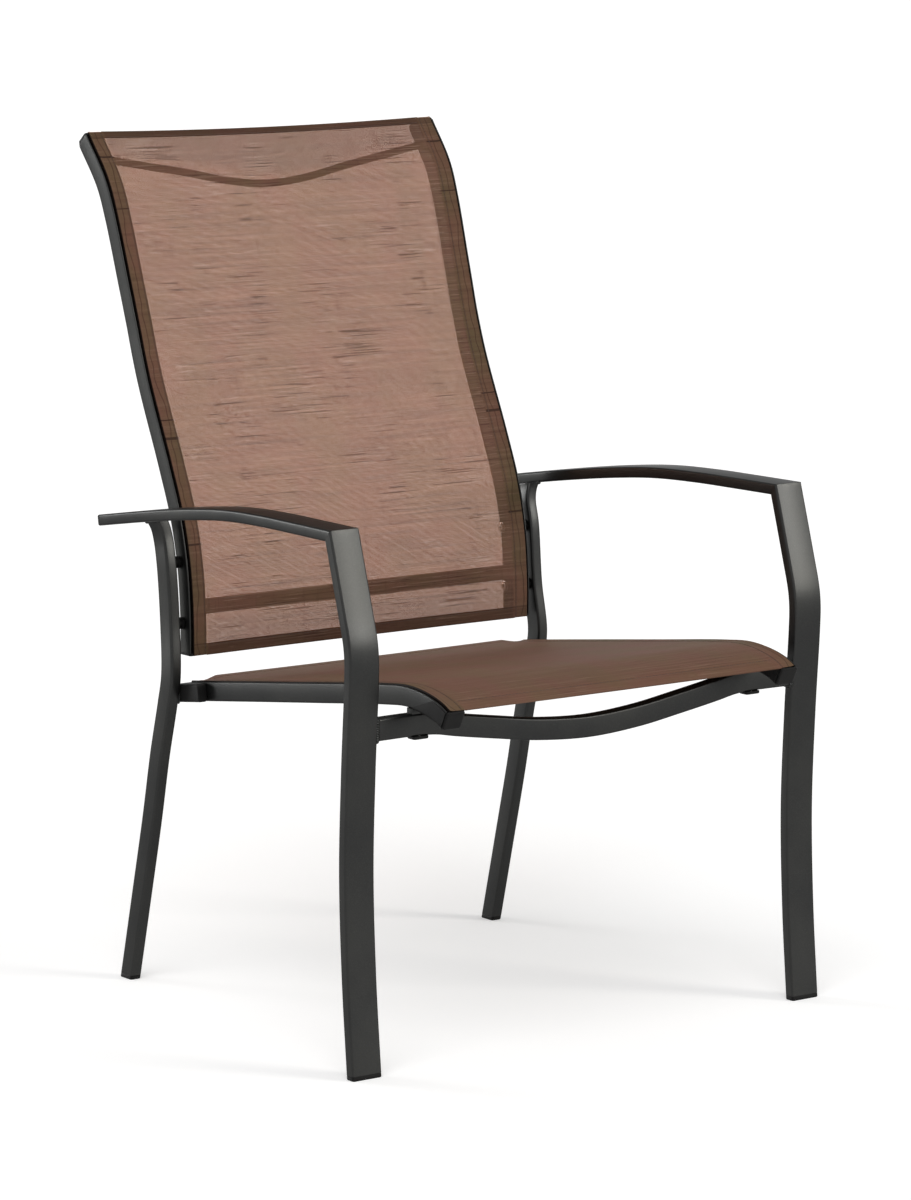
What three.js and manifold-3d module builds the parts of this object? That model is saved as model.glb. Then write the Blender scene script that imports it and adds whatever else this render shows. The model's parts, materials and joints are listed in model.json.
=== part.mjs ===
import * as THREE from 'three';
import { mergeVertices } from 'three/addons/utils/BufferGeometryUtils.js';
import Module from 'manifold-3d';

// Sling patio chair: a stationary high-back armchair of flat metal tube with two mesh slings.
// Lengths are millimetres. +Z is up, the front is -Y, and left is -X.
// Places in the side view are [rear, up]: behind the front face of the front foot, and above the floor.

// Overall size
const slingSpan = 490;
const legGap = 46;
const armHeight = 600;

// Clearance that touching pieces keep
const seam = 0.3;

// Front leg tube, with its bow below the knee and its lean above it
const legWidth = 39;
const legThickness = 13;
const legWall = 1.5;
const legCorner = 2.4;
const legBow = 13.8;
const kneeHeight = 458;
const kneeSetback = 2.4;
const legLean = 36.4;
const legBowShares = [[0, 0], [0.68, 0.24], [1, 0.49], [0.68, 0.74], [0.23, 0.94], [0.17, 1]];
const kneeShares = [[0.04, 0.125], [0.125, 0.23], [0.305, 0.39], [0.65, 0.695], [1, 1]];

// Armrest, cut from the same tube
const armReach = 493;
const armDrop = 42;
const armToeIn = 20;
const armShares = [[0, 0], [0.14, 0], [0.28, 0.01], [0.43, 0.077], [0.585, 0.263], [0.78, 0.585], [1, 1]];

// Rear leg tube, from its foot to its waist, then beside the back rail, then out to the armrest
const rearLegWidth = 24;
const rearLegThickness = 14.4;
const rearLegWall = 1.5;
const rearLegCorner = 3;
const rearLegGap = 9.7;
const rearLegSetback = 5;
const rearLegSpread = 94.6;
const rearLegSplay = 3.3;
const rearLegFlare = 20;
const waistDrop = 25.5;
const waistLead = 1;
const flareHeight = 28;
const flareArmShare = 0.585;
const rearLegShares = [[1, 0], [0.727, 0.267], [0.457, 0.533], [0.262, 0.747], [0.086, 0.907], [0, 1]];
const flareShares = [[0, 0], [0.16, 0.43], [0.5, 0.75], [1, 1]];

// Side rails of the back and the seat, with a groove for the edge of the sling
const railWidth = 24;
const railDepth = 22;
const railWall = 1.8;
const railCorner = 3;
const grooveDiameter = 8;
const grooveInset = 5.5;
const grooveSetback = 6.2;
const slotWidth = 2.6;
const slotLip = 2;
const slotLipCorner = 0.8;

// Side view of the back rail, which also spreads a little outward near its top
const backBottom = 400.5;
const backHeight = 580.5;
const backSetback = 458.7;
const backRecline = 204;
const backSplay = 5;
const backSplayStartShare = 0.63;
const backShares = [
  [0, 0], [0.001, 0.068], [0.026, 0.168], [0.095, 0.2674], [0.215, 0.3687],
  [0.4417, 0.5421], [0.599, 0.707], [0.734, 0.8525], [0.815, 0.9173], [1, 1],
];

// Side view of the seat rail, from its rolled front edge to its rear end
const seatCrest = 412.9;
const seatFall = 56.7;
const seatRun = 498.5;
const seatOverhang = 50.5;
const seatShares = [
  [0, 0.275], [0.025, 0.17], [0.078, 0.05], [0.1434, 0], [0.2283, 0.069],
  [0.4822, 0.372], [0.7426, 0.686], [1, 1],
];

// Slings and the cords that hold them in the grooves
const slingThickness = 1;
const backSag = 3;
const seatSag = 0.6;
const splineDiameter = 5;

// Cross bars
const barDepth = 16;
const barHeight = 24.6;
const barWall = 1.5;
const barCorner = 2.4;
const barTrim = 3;
const frontBarHeight = 382.5;
const frontBarSetback = 3.4;
const frontBarBow = 27.5;
const frontBarShares = [[1, 0], [0.78, 0], [0.71, 0.06], [0.63, 0.22], [0.435, 0.55], [0.24, 0.845]];
const upperBarDiameter = 9;
const upperBarBow = 37;
const upperBarPlaceShare = 0.952;
const upperBarShares = [[1, 0], [0.76, 0.265], [0.5, 0.55], [0.23, 0.88]];
const lowerBarDiameter = 18;
const lowerBarPlaceShare = 0.082;
const lowerBarSetback = 2;

// Saddle and moulded bracket that carry the seat rails
const saddleDepth = 10;
const bracketLength = 36;
const bracketHeight = 21.4;

// Bolts and spacers
const boltDiameter = 6;
const boltHeadDiameter = 11;
const boltHeadHeight = 3;
const boltEndInset = 4;
const boltAxisInset = 6;
const spacerDiameter = 14;
const backBoltShares = [0.055, 0.17];
const seatBoltShare = 0.955;

// Plastic plugs and foot glides
const plugPlate = 3;
const plugDepth = 12;
const glideHeight = 5;

// Smoothness
const cornerSegments = 2;
const grooveSegments = 8;
const roundSegments = 12;
const thinRoundSegments = 10;
const splineSegments = 6;
const halvings = 14;
const legSteps = 16;
const rearLegSteps = 20;
const armSteps = 14;
const backSteps = 22;
const seatSteps = 22;
const bowSteps = 20;
const sagSegments = 4;

const wasm = await Module();
wasm.setup();

// Frames that turn a piece drawn in its own plane into chair space
const sideFrame = new THREE.Matrix4().makeBasis(
  new THREE.Vector3(0, 1, 0),
  new THREE.Vector3(0, 0, 1),
  new THREE.Vector3(1, 0, 0),
);
const crossFrame = new THREE.Matrix4().makeBasis(
  new THREE.Vector3(1, 0, 0),
  new THREE.Vector3(0, 0, 1),
  new THREE.Vector3(0, -1, 0),
);
const upward = new THREE.Vector3(0, 0, 1);
const outward = new THREE.Vector3(1, 0, 0);

// Places that several pieces share
const railOut = (slingSpan - railWidth) / 2;
const railInner = slingSpan / 2 - railWidth;
const railOuter = slingSpan / 2;
const legInner = railOuter + legGap;
const legOut = legInner + legWidth / 2;
const rearLegInner = railOuter + rearLegGap;
const rearLegOut = rearLegInner + rearLegThickness / 2;
const waistHeight = backBottom - waistDrop;
const everything = 2 * (legOut + armHeight + backHeight);

// Points along an arc in a section
function arc(centreX, centreY, radius, from, to, segments) {
  const points = [];
  for (let i = 0; i <= segments; i += 1) {
    const angle = THREE.MathUtils.degToRad(from + ((to - from) * i) / segments);
    points.push([centreX + radius * Math.cos(angle), centreY + radius * Math.sin(angle)]);
  }
  return points;
}

// Section points are [outward, front or up], and a sweep measures its first coordinate inward
function sectionShape(points) {
  return new THREE.Shape(points.map(([across, along]) => new THREE.Vector2(-across, along)).reverse());
}

function roundedOutline(width, height, corner) {
  const x = width / 2 - corner;
  const y = height / 2 - corner;
  return [
    ...arc(x, y, corner, 0, 90, cornerSegments),
    ...arc(-x, y, corner, 90, 180, cornerSegments),
    ...arc(-x, -y, corner, 180, 270, cornerSegments),
    ...arc(x, -y, corner, 270, 360, cornerSegments),
  ];
}

function rectangleOutline(width, height) {
  const x = width / 2;
  const y = height / 2;
  return [[x, y], [-x, y], [-x, -y], [x, -y]];
}

function tubeShape(width, height, corner, wall) {
  const shape = sectionShape(roundedOutline(width, height, corner));
  shape.holes.push(sectionShape(rectangleOutline(width - 2 * wall, height - 2 * wall)));
  return shape;
}

function roundShape(diameter, segments) {
  return sectionShape(arc(0, 0, diameter / 2, 0, 360, segments).slice(1));
}

// Rail section: a square tube whose face opens into a round groove beside its outer edge
const grooveAcross = railWidth / 2 - grooveInset;
const grooveAlong = railDepth / 2 - grooveSetback;
const slotOuter = railWidth / 2 - slotLip;
const slotInner = slotOuter - slotWidth;

function grooveAngle(across) {
  return THREE.MathUtils.radToDeg(Math.acos((across - grooveAcross) / (grooveDiameter / 2)));
}

function railOutline() {
  const x = railWidth / 2 - railCorner;
  const y = railDepth / 2 - railCorner;
  const lip = [railWidth / 2 - slotLipCorner, railDepth / 2 - slotLipCorner];
  const mouth = [grooveAngle(slotOuter), grooveAngle(slotInner) - 360];
  return [
    ...arc(lip[0], lip[1], slotLipCorner, 0, 90, cornerSegments),
    [slotOuter, railDepth / 2],
    ...arc(grooveAcross, grooveAlong, grooveDiameter / 2, mouth[0], mouth[1], grooveSegments),
    [slotInner, railDepth / 2],
    ...arc(-x, y, railCorner, 90, 180, cornerSegments),
    ...arc(-x, -y, railCorner, 180, 270, cornerSegments),
    ...arc(x, -y, railCorner, 270, 360, cornerSegments),
  ];
}

// The rail's hollow goes round the groove in an L
function hollowOutline(inset) {
  const side = railWidth / 2 - railWall - inset;
  const face = railDepth / 2 - railWall - inset;
  const shelf = grooveAlong - grooveDiameter / 2 - railWall - inset;
  const step = grooveAcross - grooveDiameter / 2 - railWall - inset;
  return [[side, -face], [side, shelf], [step, shelf], [step, face], [-side, face], [-side, -face]];
}

function railShape() {
  const shape = sectionShape(railOutline());
  shape.holes.push(sectionShape(hollowOutline(0)));
  return shape;
}

// Sling section: straight across with a little sag, over both rails and down into their slots
const slingTurn = railOut + (slotOuter + slotInner - slingThickness) / 2 - seam;
const slingEnd = grooveAlong + splineDiameter / 2;

function slingFace(lift, sag) {
  const points = [];
  for (let i = 1 - sagSegments; i < sagSegments; i += 1) {
    const share = i / sagSegments;
    points.push([share * railInner, railDepth / 2 + lift - sag * (1 - share * share)]);
  }
  const corner = arc(slingTurn, railDepth / 2, lift, 0, 90, cornerSegments);
  const mirroredCorner = corner.map(([across, along]) => [-across, along]);
  const flat = [railInner, railDepth / 2 + lift];
  return [...corner, flat, ...points.reverse(), [-flat[0], flat[1]], ...mirroredCorner.reverse()];
}

function slingShape(sag) {
  const inner = slingFace(seam, sag);
  const outer = slingFace(seam + slingThickness, sag);
  const right = [[slingTurn + seam + slingThickness, slingEnd], [slingTurn + seam, slingEnd]];
  const left = right.map(([across, along]) => [-across, along]).reverse();
  return sectionShape([...right, ...inner, ...left, ...outer.reverse()]);
}

// Curves in the side view, and the point and direction at either end
function sideCurve(places, out) {
  const points = places.map(([rear, up]) => new THREE.Vector3(rear, up, out));
  return new THREE.CatmullRomCurve3(points, false, 'centripetal');
}

const legPlaces = [
  ...legBowShares.map(([bow, height]) => [legThickness / 2 + bow * legBow, height * kneeHeight]),
  ...kneeShares.map(([lean, height]) => [
    legThickness / 2 + kneeSetback + lean * legLean,
    kneeHeight + height * (armHeight - legThickness / 2 - kneeHeight),
  ]),
];
const armCorner = legPlaces[legPlaces.length - 1];
const armPlaces = armShares.map(([reach, drop]) => [
  armCorner[0] + reach * armReach,
  armCorner[1] - drop * armDrop,
]);
const backPlaces = backShares.map(([recline, height]) => [
  backSetback + recline * backRecline,
  backBottom + height * backHeight,
]);
const seatPlaces = seatShares.map(([run, fall]) => [
  run * seatRun - seatOverhang,
  seatCrest - fall * seatFall,
]);
const backCurve = sideCurve(backPlaces, railOut);
const seatCurve = sideCurve(seatPlaces, railOut);

// A place on a curve at a given height, found by halving
function placeAtHeight(curve, height) {
  let low = 0;
  let high = 1;
  for (let i = 0; i < halvings; i += 1) {
    const middle = (low + high) / 2;
    if (curve.getPointAt(middle).y < height) {
      low = middle;
    } else {
      high = middle;
    }
  }
  return curve.getPointAt((low + high) / 2);
}

// Solids
function toSolid(geometry) {
  const plain = geometry.clone();
  plain.deleteAttribute('normal');
  plain.deleteAttribute('uv');
  const merged = mergeVertices(plain);
  const corners = merged.index.array;
  const triangles = [];
  for (let i = 0; i < corners.length; i += 3) {
    const [a, b, c] = corners.subarray(i, i + 3);
    if (a !== b && b !== c && c !== a) {
      triangles.push(a, b, c);
    }
  }
  return new wasm.Manifold(new wasm.Mesh({
    numProp: 3,
    vertProperties: new Float32Array(merged.attributes.position.array),
    triVerts: new Uint32Array(triangles),
  }));
}

function toGeometry(solid) {
  const mesh = solid.getMesh();
  const geometry = new THREE.BufferGeometry();
  geometry.setAttribute('position', new THREE.BufferAttribute(mesh.vertProperties, 3));
  geometry.setIndex(new THREE.BufferAttribute(mesh.triVerts, 1));
  const flat = geometry.toNonIndexed();
  flat.computeVertexNormals();
  return flat;
}

// Widens what is near the top of the back, so that its rails spread outward
function spreadAt(height) {
  const start = backBottom + backSplayStartShare * backHeight;
  const share = Math.max(0, height - start) / (backBottom + backHeight - start);
  return 1 + (share * backSplay) / railOut;
}

function spread(geometry) {
  const position = geometry.attributes.position;
  for (let i = 0; i < position.count; i += 1) {
    position.setX(i, position.getX(i) * spreadAt(position.getZ(i)));
  }
  return geometry;
}

function sweep(shape, curve, steps, frame) {
  const geometry = new THREE.ExtrudeGeometry(shape, { extrudePath: curve, steps, bevelEnabled: false });
  return toSolid(spread(geometry.applyMatrix4(frame)));
}

// A straight stretch of a section, from one distance to another along a direction
function stretch(shape, point, direction, from, to, frame) {
  const start = point.clone().addScaledVector(direction, from);
  const end = point.clone().addScaledVector(direction, to);
  return sweep(shape, new THREE.LineCurve3(start, end), 1, frame);
}

// All space on one side of a plane, used to cut
function beyond(point, normal) {
  const box = new THREE.BoxGeometry(everything, everything, everything);
  box.translate(0, 0, everything / 2);
  box.applyQuaternion(new THREE.Quaternion().setFromUnitVectors(upward, normal));
  box.translate(point.x, point.y, point.z);
  return toSolid(box);
}

function below(height) {
  return beyond(new THREE.Vector3(0, 0, height), upward.clone().negate());
}

function above(height) {
  return beyond(new THREE.Vector3(0, 0, height), upward);
}

// A round solid turned about an axis, from [radius, distance] points
function turned(profile, origin, axis) {
  const points = profile.map(([radius, distance]) => new THREE.Vector2(radius, distance));
  const geometry = new THREE.LatheGeometry(points, roundSegments);
  geometry.applyQuaternion(new THREE.Quaternion().setFromUnitVectors(new THREE.Vector3(0, 1, 0), axis));
  geometry.translate(origin.x, origin.y, origin.z);
  return toSolid(geometry);
}

function boltHole(origin, axis, from, to) {
  const radius = boltDiameter / 2 + seam;
  return turned([[0, from], [radius, from], [radius, to], [0, to]], origin, axis);
}

function bolt(origin, axis, length) {
  const head = boltHeadDiameter / 2;
  const shank = boltDiameter / 2;
  const profile = [
    [0, -boltHeadHeight], [head, -boltHeadHeight], [head, 0],
    [shank, 0], [shank, length], [0, length],
  ];
  return turned(profile, origin, axis);
}

// Front leg and armrest, mitred together
const legSection = tubeShape(legWidth, legThickness, legCorner, legWall);
const legPlugSection = sectionShape(rectangleOutline(
  legWidth - 2 * (legWall + seam),
  legThickness - 2 * (legWall + seam),
));
const legCurve = sideCurve(legPlaces, legOut);

const mitreOrigin = new THREE.Vector3(legOut, armCorner[0], armCorner[1]);
const mitreNormal = new THREE.Vector3(0, legLean, armCorner[1] - kneeHeight)
  .normalize()
  .add(new THREE.Vector3(0, 1, 0))
  .normalize();

function mitreCut(side) {
  const normal = mitreNormal.clone().multiplyScalar(side);
  return beyond(mitreOrigin.clone().addScaledVector(normal, -seam / 2), normal);
}

function frontLeg() {
  const end = legCurve.getPointAt(1);
  const direction = legCurve.getTangentAt(1);
  const tip = stretch(legSection, end, direction, 0, legWidth, sideFrame);
  return sweep(legSection, legCurve, legSteps, sideFrame)
    .add(tip)
    .subtract(mitreCut(1))
    .subtract(below(glideHeight + seam));
}

// The armrest is drawn straight behind the leg and turned about the mitre to toe in
const armCurve = sideCurve(armPlaces, 0);
const armTurn = new THREE.Matrix4()
  .makeTranslation(mitreOrigin.x, mitreOrigin.y, 0)
  .multiply(new THREE.Matrix4().makeRotationZ(Math.asin(armToeIn / armReach)))
  .multiply(new THREE.Matrix4().makeTranslation(0, -mitreOrigin.y, 0))
  .multiply(sideFrame);

function armrest() {
  const start = armCurve.getPointAt(0);
  const direction = armCurve.getTangentAt(0);
  const tip = stretch(legSection, start, direction, -legWidth, 0, armTurn);
  return sweep(legSection, armCurve, armSteps, armTurn).add(tip).subtract(mitreCut(-1));
}

function armPlug() {
  const end = armCurve.getPointAt(1);
  const direction = armCurve.getTangentAt(1);
  const plate = sectionShape(roundedOutline(legWidth, legThickness, legCorner));
  return stretch(plate, end, direction, seam, seam + plugPlate, armTurn)
    .add(stretch(legPlugSection, end, direction, -plugDepth, seam + plugPlate / 2, armTurn));
}

// Rear leg: straight from the foot, beside the back rail, and out to the armrest
const rearLegSection = tubeShape(rearLegThickness, rearLegWidth, rearLegCorner, rearLegWall);
const flareTop = armHeight - legThickness - armDrop * flareArmShare;
const flareStart = placeAtHeight(backCurve, flareTop - flareHeight);

function rearLegCurve() {
  const points = rearLegShares.map(([back, up]) => new THREE.Vector3(
    backSetback - waistLead + back * rearLegSpread,
    up * waistHeight,
    rearLegOut + rearLegSplay,
  ));
  for (const share of backBoltShares) {
    const beside = backCurve.getPointAt(share);
    points.push(new THREE.Vector3(beside.x + rearLegSetback, beside.y, rearLegOut));
  }
  const top = new THREE.Vector3(flareStart.x + rearLegSetback, flareStart.y, rearLegOut);
  for (const [out, up] of flareShares) {
    const rise = up * (flareHeight + legThickness / 2);
    points.push(top.clone().add(new THREE.Vector3(up * rearLegSetback, rise, out * rearLegFlare)));
  }
  return new THREE.CatmullRomCurve3(points, false, 'centripetal');
}

// The space that the armrest takes, and all that is over it
function armEnvelope() {
  const under = -legThickness / 2 - seam;
  const block = sectionShape([
    [-legWidth, under], [legWidth, under], [legWidth, legWidth], [-legWidth, legWidth],
  ]);
  return sweep(block, armCurve, armSteps, armTurn);
}

function rearLeg() {
  const curve = rearLegCurve();
  return sweep(rearLegSection, curve, rearLegSteps, sideFrame)
    .subtract(armEnvelope())
    .subtract(below(glideHeight + seam))
    .subtract(backBoltHoles());
}

// Foot glides
function footGlide(curve, outline, plugOutline) {
  const foot = curve.getPointAt(0);
  const direction = curve.getTangentAt(0);
  const pad = stretch(sectionShape(outline), foot, direction, -plugDepth, plugDepth, sideFrame)
    .subtract(above(glideHeight));
  const plug = stretch(sectionShape(plugOutline), foot, direction, 0, plugDepth + glideHeight, sideFrame)
    .subtract(below(glideHeight / 2));
  return pad.subtract(below(0)).add(plug);
}

function frontGlide() {
  const inset = 2 * (legWall + seam);
  return footGlide(
    legCurve,
    roundedOutline(legWidth, legThickness, legCorner),
    rectangleOutline(legWidth - inset, legThickness - inset),
  );
}

function rearGlide() {
  const inset = 2 * (rearLegWall + seam);
  return footGlide(
    rearLegCurve(),
    roundedOutline(rearLegThickness, rearLegWidth, rearLegCorner),
    rectangleOutline(rearLegThickness - inset, rearLegWidth - inset),
  );
}

// Bolts that run through a rail, on an axis behind the groove
const boltAlong = boltAxisInset - railDepth / 2;

function railBoltOrigin(curve, share) {
  const point = curve.getPointAt(share);
  const direction = curve.getTangentAt(share);
  return new THREE.Vector3(
    railInner - seam,
    point.x - direction.y * boltAlong,
    point.y + direction.x * boltAlong,
  );
}

const backBoltOrigins = backBoltShares.map((share) => railBoltOrigin(backCurve, share));
const seatBoltOrigin = railBoltOrigin(seatCurve, seatBoltShare);
const backBoltLength = rearLegInner + rearLegWall + boltEndInset - railInner;
const seatBoltLength = railWidth + rearLegGap - boltEndInset;

function backBoltHoles() {
  const holes = backBoltOrigins.map((origin) => (
    boltHole(origin, outward, -boltHeadHeight, rearLegInner + rearLegThickness / 2 - railInner)
  ));
  return holes[0].add(holes[1]);
}

function backSpacer(origin) {
  const bore = boltDiameter / 2 + seam;
  const rim = spacerDiameter / 2;
  const from = railOuter + seam - origin.x;
  const to = rearLegInner - seam - origin.x;
  return turned([[bore, from], [rim, from], [rim, to], [bore, to], [bore, from]], origin, outward);
}

// Rails
function backRail() {
  return sweep(railShape(), backCurve, backSteps, sideFrame).subtract(backBoltHoles());
}

function seatRail() {
  return sweep(railShape(), seatCurve, seatSteps, sideFrame)
    .subtract(boltHole(seatBoltOrigin, outward, -boltHeadHeight, seatBoltLength))
    .subtract(boltHole(saddleBoltOrigin, upward, 0, saddleBoltLength + boltEndInset));
}

// A plug's plate covers the rail's end, and its inner part follows the rail's own curve
function railPlug(curve, steps, share) {
  const outwards = share === 0 ? -1 : 1;
  const inset = plugDepth / curve.getLength();
  const innerShare = share - outwards * inset;
  const point = curve.getPointAt(share);
  const direction = curve.getTangentAt(share).multiplyScalar(outwards);
  const innerEnd = curve.getPointAt(innerShare).applyMatrix4(sideFrame);
  const innerDirection = curve.getTangentAt(innerShare)
    .multiplyScalar(-outwards)
    .transformDirection(sideFrame);
  const plate = sectionShape(roundedOutline(railWidth, railDepth, railCorner));
  const plug = sectionShape(hollowOutline(seam));
  return sweep(plug, curve, steps, sideFrame)
    .subtract(beyond(innerEnd, innerDirection))
    .add(alongPath(plug, point, direction, outwards, 0, seam + plugPlate / 2))
    .add(alongPath(plate, point, direction, outwards, seam, seam + plugPlate));
}

// A stretch past the end of a path, drawn the same way round as the path itself
function alongPath(shape, point, direction, outwards, from, to) {
  const forward = direction.clone().multiplyScalar(outwards);
  const near = Math.min(outwards * from, outwards * to);
  const far = Math.max(outwards * from, outwards * to);
  return stretch(shape, point, forward, near, far, sideFrame);
}

// Slings, and the cords in their side pockets
function sling(places, steps, sag) {
  return sweep(slingShape(sag), sideCurve(places, 0), steps, sideFrame);
}

function splineCord(curve, steps) {
  const shape = sectionShape(
    arc(grooveAcross, grooveAlong, splineDiameter / 2, 0, 360, splineSegments).slice(1),
  );
  return sweep(shape, curve, steps, sideFrame);
}

// Cross bars, drawn from one end to the other
function bowedCurve(halfSpan, up, front, bow, shares) {
  const right = shares.map(([across, drop]) => new THREE.Vector3(across * halfSpan, up - drop * bow, front));
  const left = right.map((point) => new THREE.Vector3(-point.x, point.y, point.z));
  const middle = new THREE.Vector3(0, up - bow, front);
  return new THREE.CatmullRomCurve3([...left, middle, ...right.reverse()], false, 'centripetal');
}

// A bar is drawn a little long and trimmed where it meets its neighbours
function trimmed(solid, halfSpan) {
  const end = new THREE.Vector3(halfSpan, 0, 0);
  const otherEnd = end.clone().negate();
  return solid.subtract(beyond(end, outward)).subtract(beyond(otherEnd, outward.clone().negate()));
}

const barSection = tubeShape(barDepth, barHeight, barCorner, barWall);
const frontBarRear = placeAtHeight(legCurve, frontBarHeight).x + frontBarSetback;
const saddleRear = frontBarRear - (barDepth - saddleDepth) / 2;
const saddleBoltOrigin = new THREE.Vector3(railOut, saddleRear, frontBarHeight - barHeight / 2 - seam);
const saddleBoltLength = seatCrest - railDepth / 2 + railWall + boltEndInset - saddleBoltOrigin.z;

function frontBar() {
  const curve = bowedCurve(legInner + barTrim, frontBarHeight, -frontBarRear, frontBarBow, frontBarShares);
  const spot = boltHeadDiameter / 2 + seam;
  const spotProfile = [[0, -boltHeadHeight], [spot, -boltHeadHeight], [spot, seam], [0, seam]];
  const hole = boltHole(saddleBoltOrigin, upward, -boltHeadHeight, barHeight + boltHeadHeight)
    .add(turned(spotProfile, saddleBoltOrigin, upward));
  const holeLeft = hole.translate([-2 * railOut, 0, 0]);
  const bar = sweep(barSection, curve, bowSteps, crossFrame);
  return trimmed(bar, legInner - seam).subtract(hole).subtract(holeLeft);
}

// The rear bar stands just behind the plugs of the seat rails
const seatEnd = seatCurve.getPointAt(1);
const seatEndDirection = seatCurve.getTangentAt(1);
const rearBarFront = seatEnd.x - seatEndDirection.y * (railDepth / 2)
  + seatEndDirection.x * (seam + plugPlate) + seam;

function rearBar() {
  const centre = new THREE.Vector3(0, seatEnd.y, -(rearBarFront + barDepth / 2));
  const halfSpan = rearLegInner + rearLegSplay - seam;
  return stretch(barSection, centre, outward, -halfSpan, halfSpan, crossFrame);
}

function upperBackBar() {
  const end = backCurve.getPointAt(upperBarPlaceShare);
  const curve = bowedCurve(railInner + barTrim, end.y, -end.x, upperBarBow, upperBarShares);
  const bar = sweep(roundShape(upperBarDiameter, thinRoundSegments), curve, bowSteps, crossFrame);
  return trimmed(bar, (railInner - seam) * spreadAt(end.y));
}

function lowerBackBar() {
  const end = backCurve.getPointAt(lowerBarPlaceShare);
  const centre = new THREE.Vector3(0, end.y, -(end.x + lowerBarSetback));
  const halfSpan = railInner - seam;
  const shape = roundShape(lowerBarDiameter, roundSegments);
  return stretch(shape, centre, outward, -halfSpan, halfSpan, crossFrame);
}

// Saddle between the front bar and a seat rail
function seatSaddle() {
  const bottom = frontBarHeight + barHeight / 2 + seam;
  const block = new THREE.BoxGeometry(railWidth, saddleDepth, railDepth);
  block.translate(railOut, saddleBoltOrigin.y, bottom + railDepth / 2);
  const envelope = sectionShape(rectangleOutline(2 * railWidth, railDepth + 2 * seam));
  return toSolid(block)
    .subtract(sweep(envelope, seatCurve, seatSteps, sideFrame))
    .subtract(above(seatCrest))
    .subtract(boltHole(saddleBoltOrigin, upward, 0, saddleBoltLength + boltEndInset));
}

// Bracket beside a seat rail, on the front of the rear bar
function seatBracket() {
  const width = rearLegInner + rearLegSplay - railOuter - 2 * seam;
  const shape = sectionShape(roundedOutline(width, bracketHeight, rearLegCorner));
  const centre = seatEnd.clone();
  centre.z = railOuter + seam + width / 2;
  centre.x += seatEndDirection.y * (railDepth - bracketHeight) / 2;
  centre.y -= seatEndDirection.x * (railDepth - bracketHeight) / 2;
  const barFace = new THREE.Vector3(0, rearBarFront - seam, 0);
  return stretch(shape, centre, seatEndDirection, -bracketLength, bracketLength, sideFrame)
    .subtract(beyond(barFace, new THREE.Vector3(0, 1, 0)))
    .subtract(boltHole(seatBoltOrigin, outward, 0, seatBoltLength + seam));
}

// Finishes
function metal() {
  return new THREE.MeshStandardMaterial({ color: 0x41423f, roughness: 0.5, metalness: 0.55 });
}

function mesh() {
  return new THREE.MeshStandardMaterial({ color: 0x84614f, roughness: 0.85, metalness: 0 });
}

function plastic() {
  return new THREE.MeshStandardMaterial({ color: 0x232423, roughness: 0.6, metalness: 0 });
}

function steel() {
  return new THREE.MeshStandardMaterial({ color: 0x8b8d8e, roughness: 0.35, metalness: 0.9 });
}

// Assembly
const chair = new THREE.Group();

function place(name, solid, material) {
  const part = new THREE.Mesh(toGeometry(solid), material);
  part.name = name;
  chair.add(part);
}

// Turns a right-hand piece into its left-hand twin
function mirrored(geometry) {
  const twin = geometry.clone();
  twin.scale(-1, 1, 1);
  const values = twin.attributes.position.array;
  for (let i = 0; i < values.length; i += 9) {
    const second = values.slice(i + 3, i + 6);
    values.copyWithin(i + 3, i + 6, i + 9);
    values.set(second, i + 6);
  }
  twin.computeVertexNormals();
  return twin;
}

function placePair(name, solid, material) {
  const right = new THREE.Mesh(toGeometry(solid), material());
  const left = new THREE.Mesh(mirrored(right.geometry), material());
  right.name = `${name}_right`;
  left.name = `${name}_left`;
  chair.add(left, right);
}

placePair('front_leg', frontLeg(), metal);
placePair('armrest', armrest(), metal);
placePair('rear_leg', rearLeg(), metal);
placePair('back_rail', backRail(), metal);
placePair('seat_rail', seatRail(), metal);
placePair('seat_saddle', seatSaddle(), metal);
place('front_cross_bar', frontBar(), metal());
place('rear_cross_bar', rearBar(), metal());
place('upper_back_bar', upperBackBar(), metal());
place('lower_back_bar', lowerBackBar(), metal());
place('back_sling', sling(backPlaces, backSteps, backSag), mesh());
place('seat_sling', sling(seatPlaces, seatSteps, seatSag), mesh());
placePair('back_spline', splineCord(backCurve, backSteps), plastic);
placePair('seat_spline', splineCord(seatCurve, seatSteps), plastic);
placePair('foot_glide_front', frontGlide(), plastic);
placePair('foot_glide_rear', rearGlide(), plastic);
placePair('seat_bracket', seatBracket(), plastic);
placePair('armrest_plug', armPlug(), plastic);
placePair('back_rail_plug_bottom', railPlug(backCurve, backSteps, 0), plastic);
placePair('back_rail_plug_top', railPlug(backCurve, backSteps, 1), plastic);
placePair('seat_rail_plug_front', railPlug(seatCurve, seatSteps, 0), plastic);
placePair('seat_rail_plug_rear', railPlug(seatCurve, seatSteps, 1), plastic);
placePair('back_spacer_lower', backSpacer(backBoltOrigins[0]), plastic);
placePair('back_spacer_upper', backSpacer(backBoltOrigins[1]), plastic);
placePair('back_bolt_lower', bolt(backBoltOrigins[0], outward, backBoltLength), steel);
placePair('back_bolt_upper', bolt(backBoltOrigins[1], outward, backBoltLength), steel);
placePair('seat_bolt_rear', bolt(seatBoltOrigin, outward, seatBoltLength), steel);
placePair('seat_bolt_front', bolt(saddleBoltOrigin, upward, saddleBoltLength), steel);

// The chair stands on the origin, with the middle of its depth over it
const bounds = new THREE.Box3().setFromObject(chair);
chair.position.y = -(bounds.min.y + bounds.max.y) / 2;

export default chair;
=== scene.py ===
import json
import math
from copy import copy
from functools import reduce

import bmesh
import bpy
import numpy as np
from mathutils import Matrix, Vector


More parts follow.
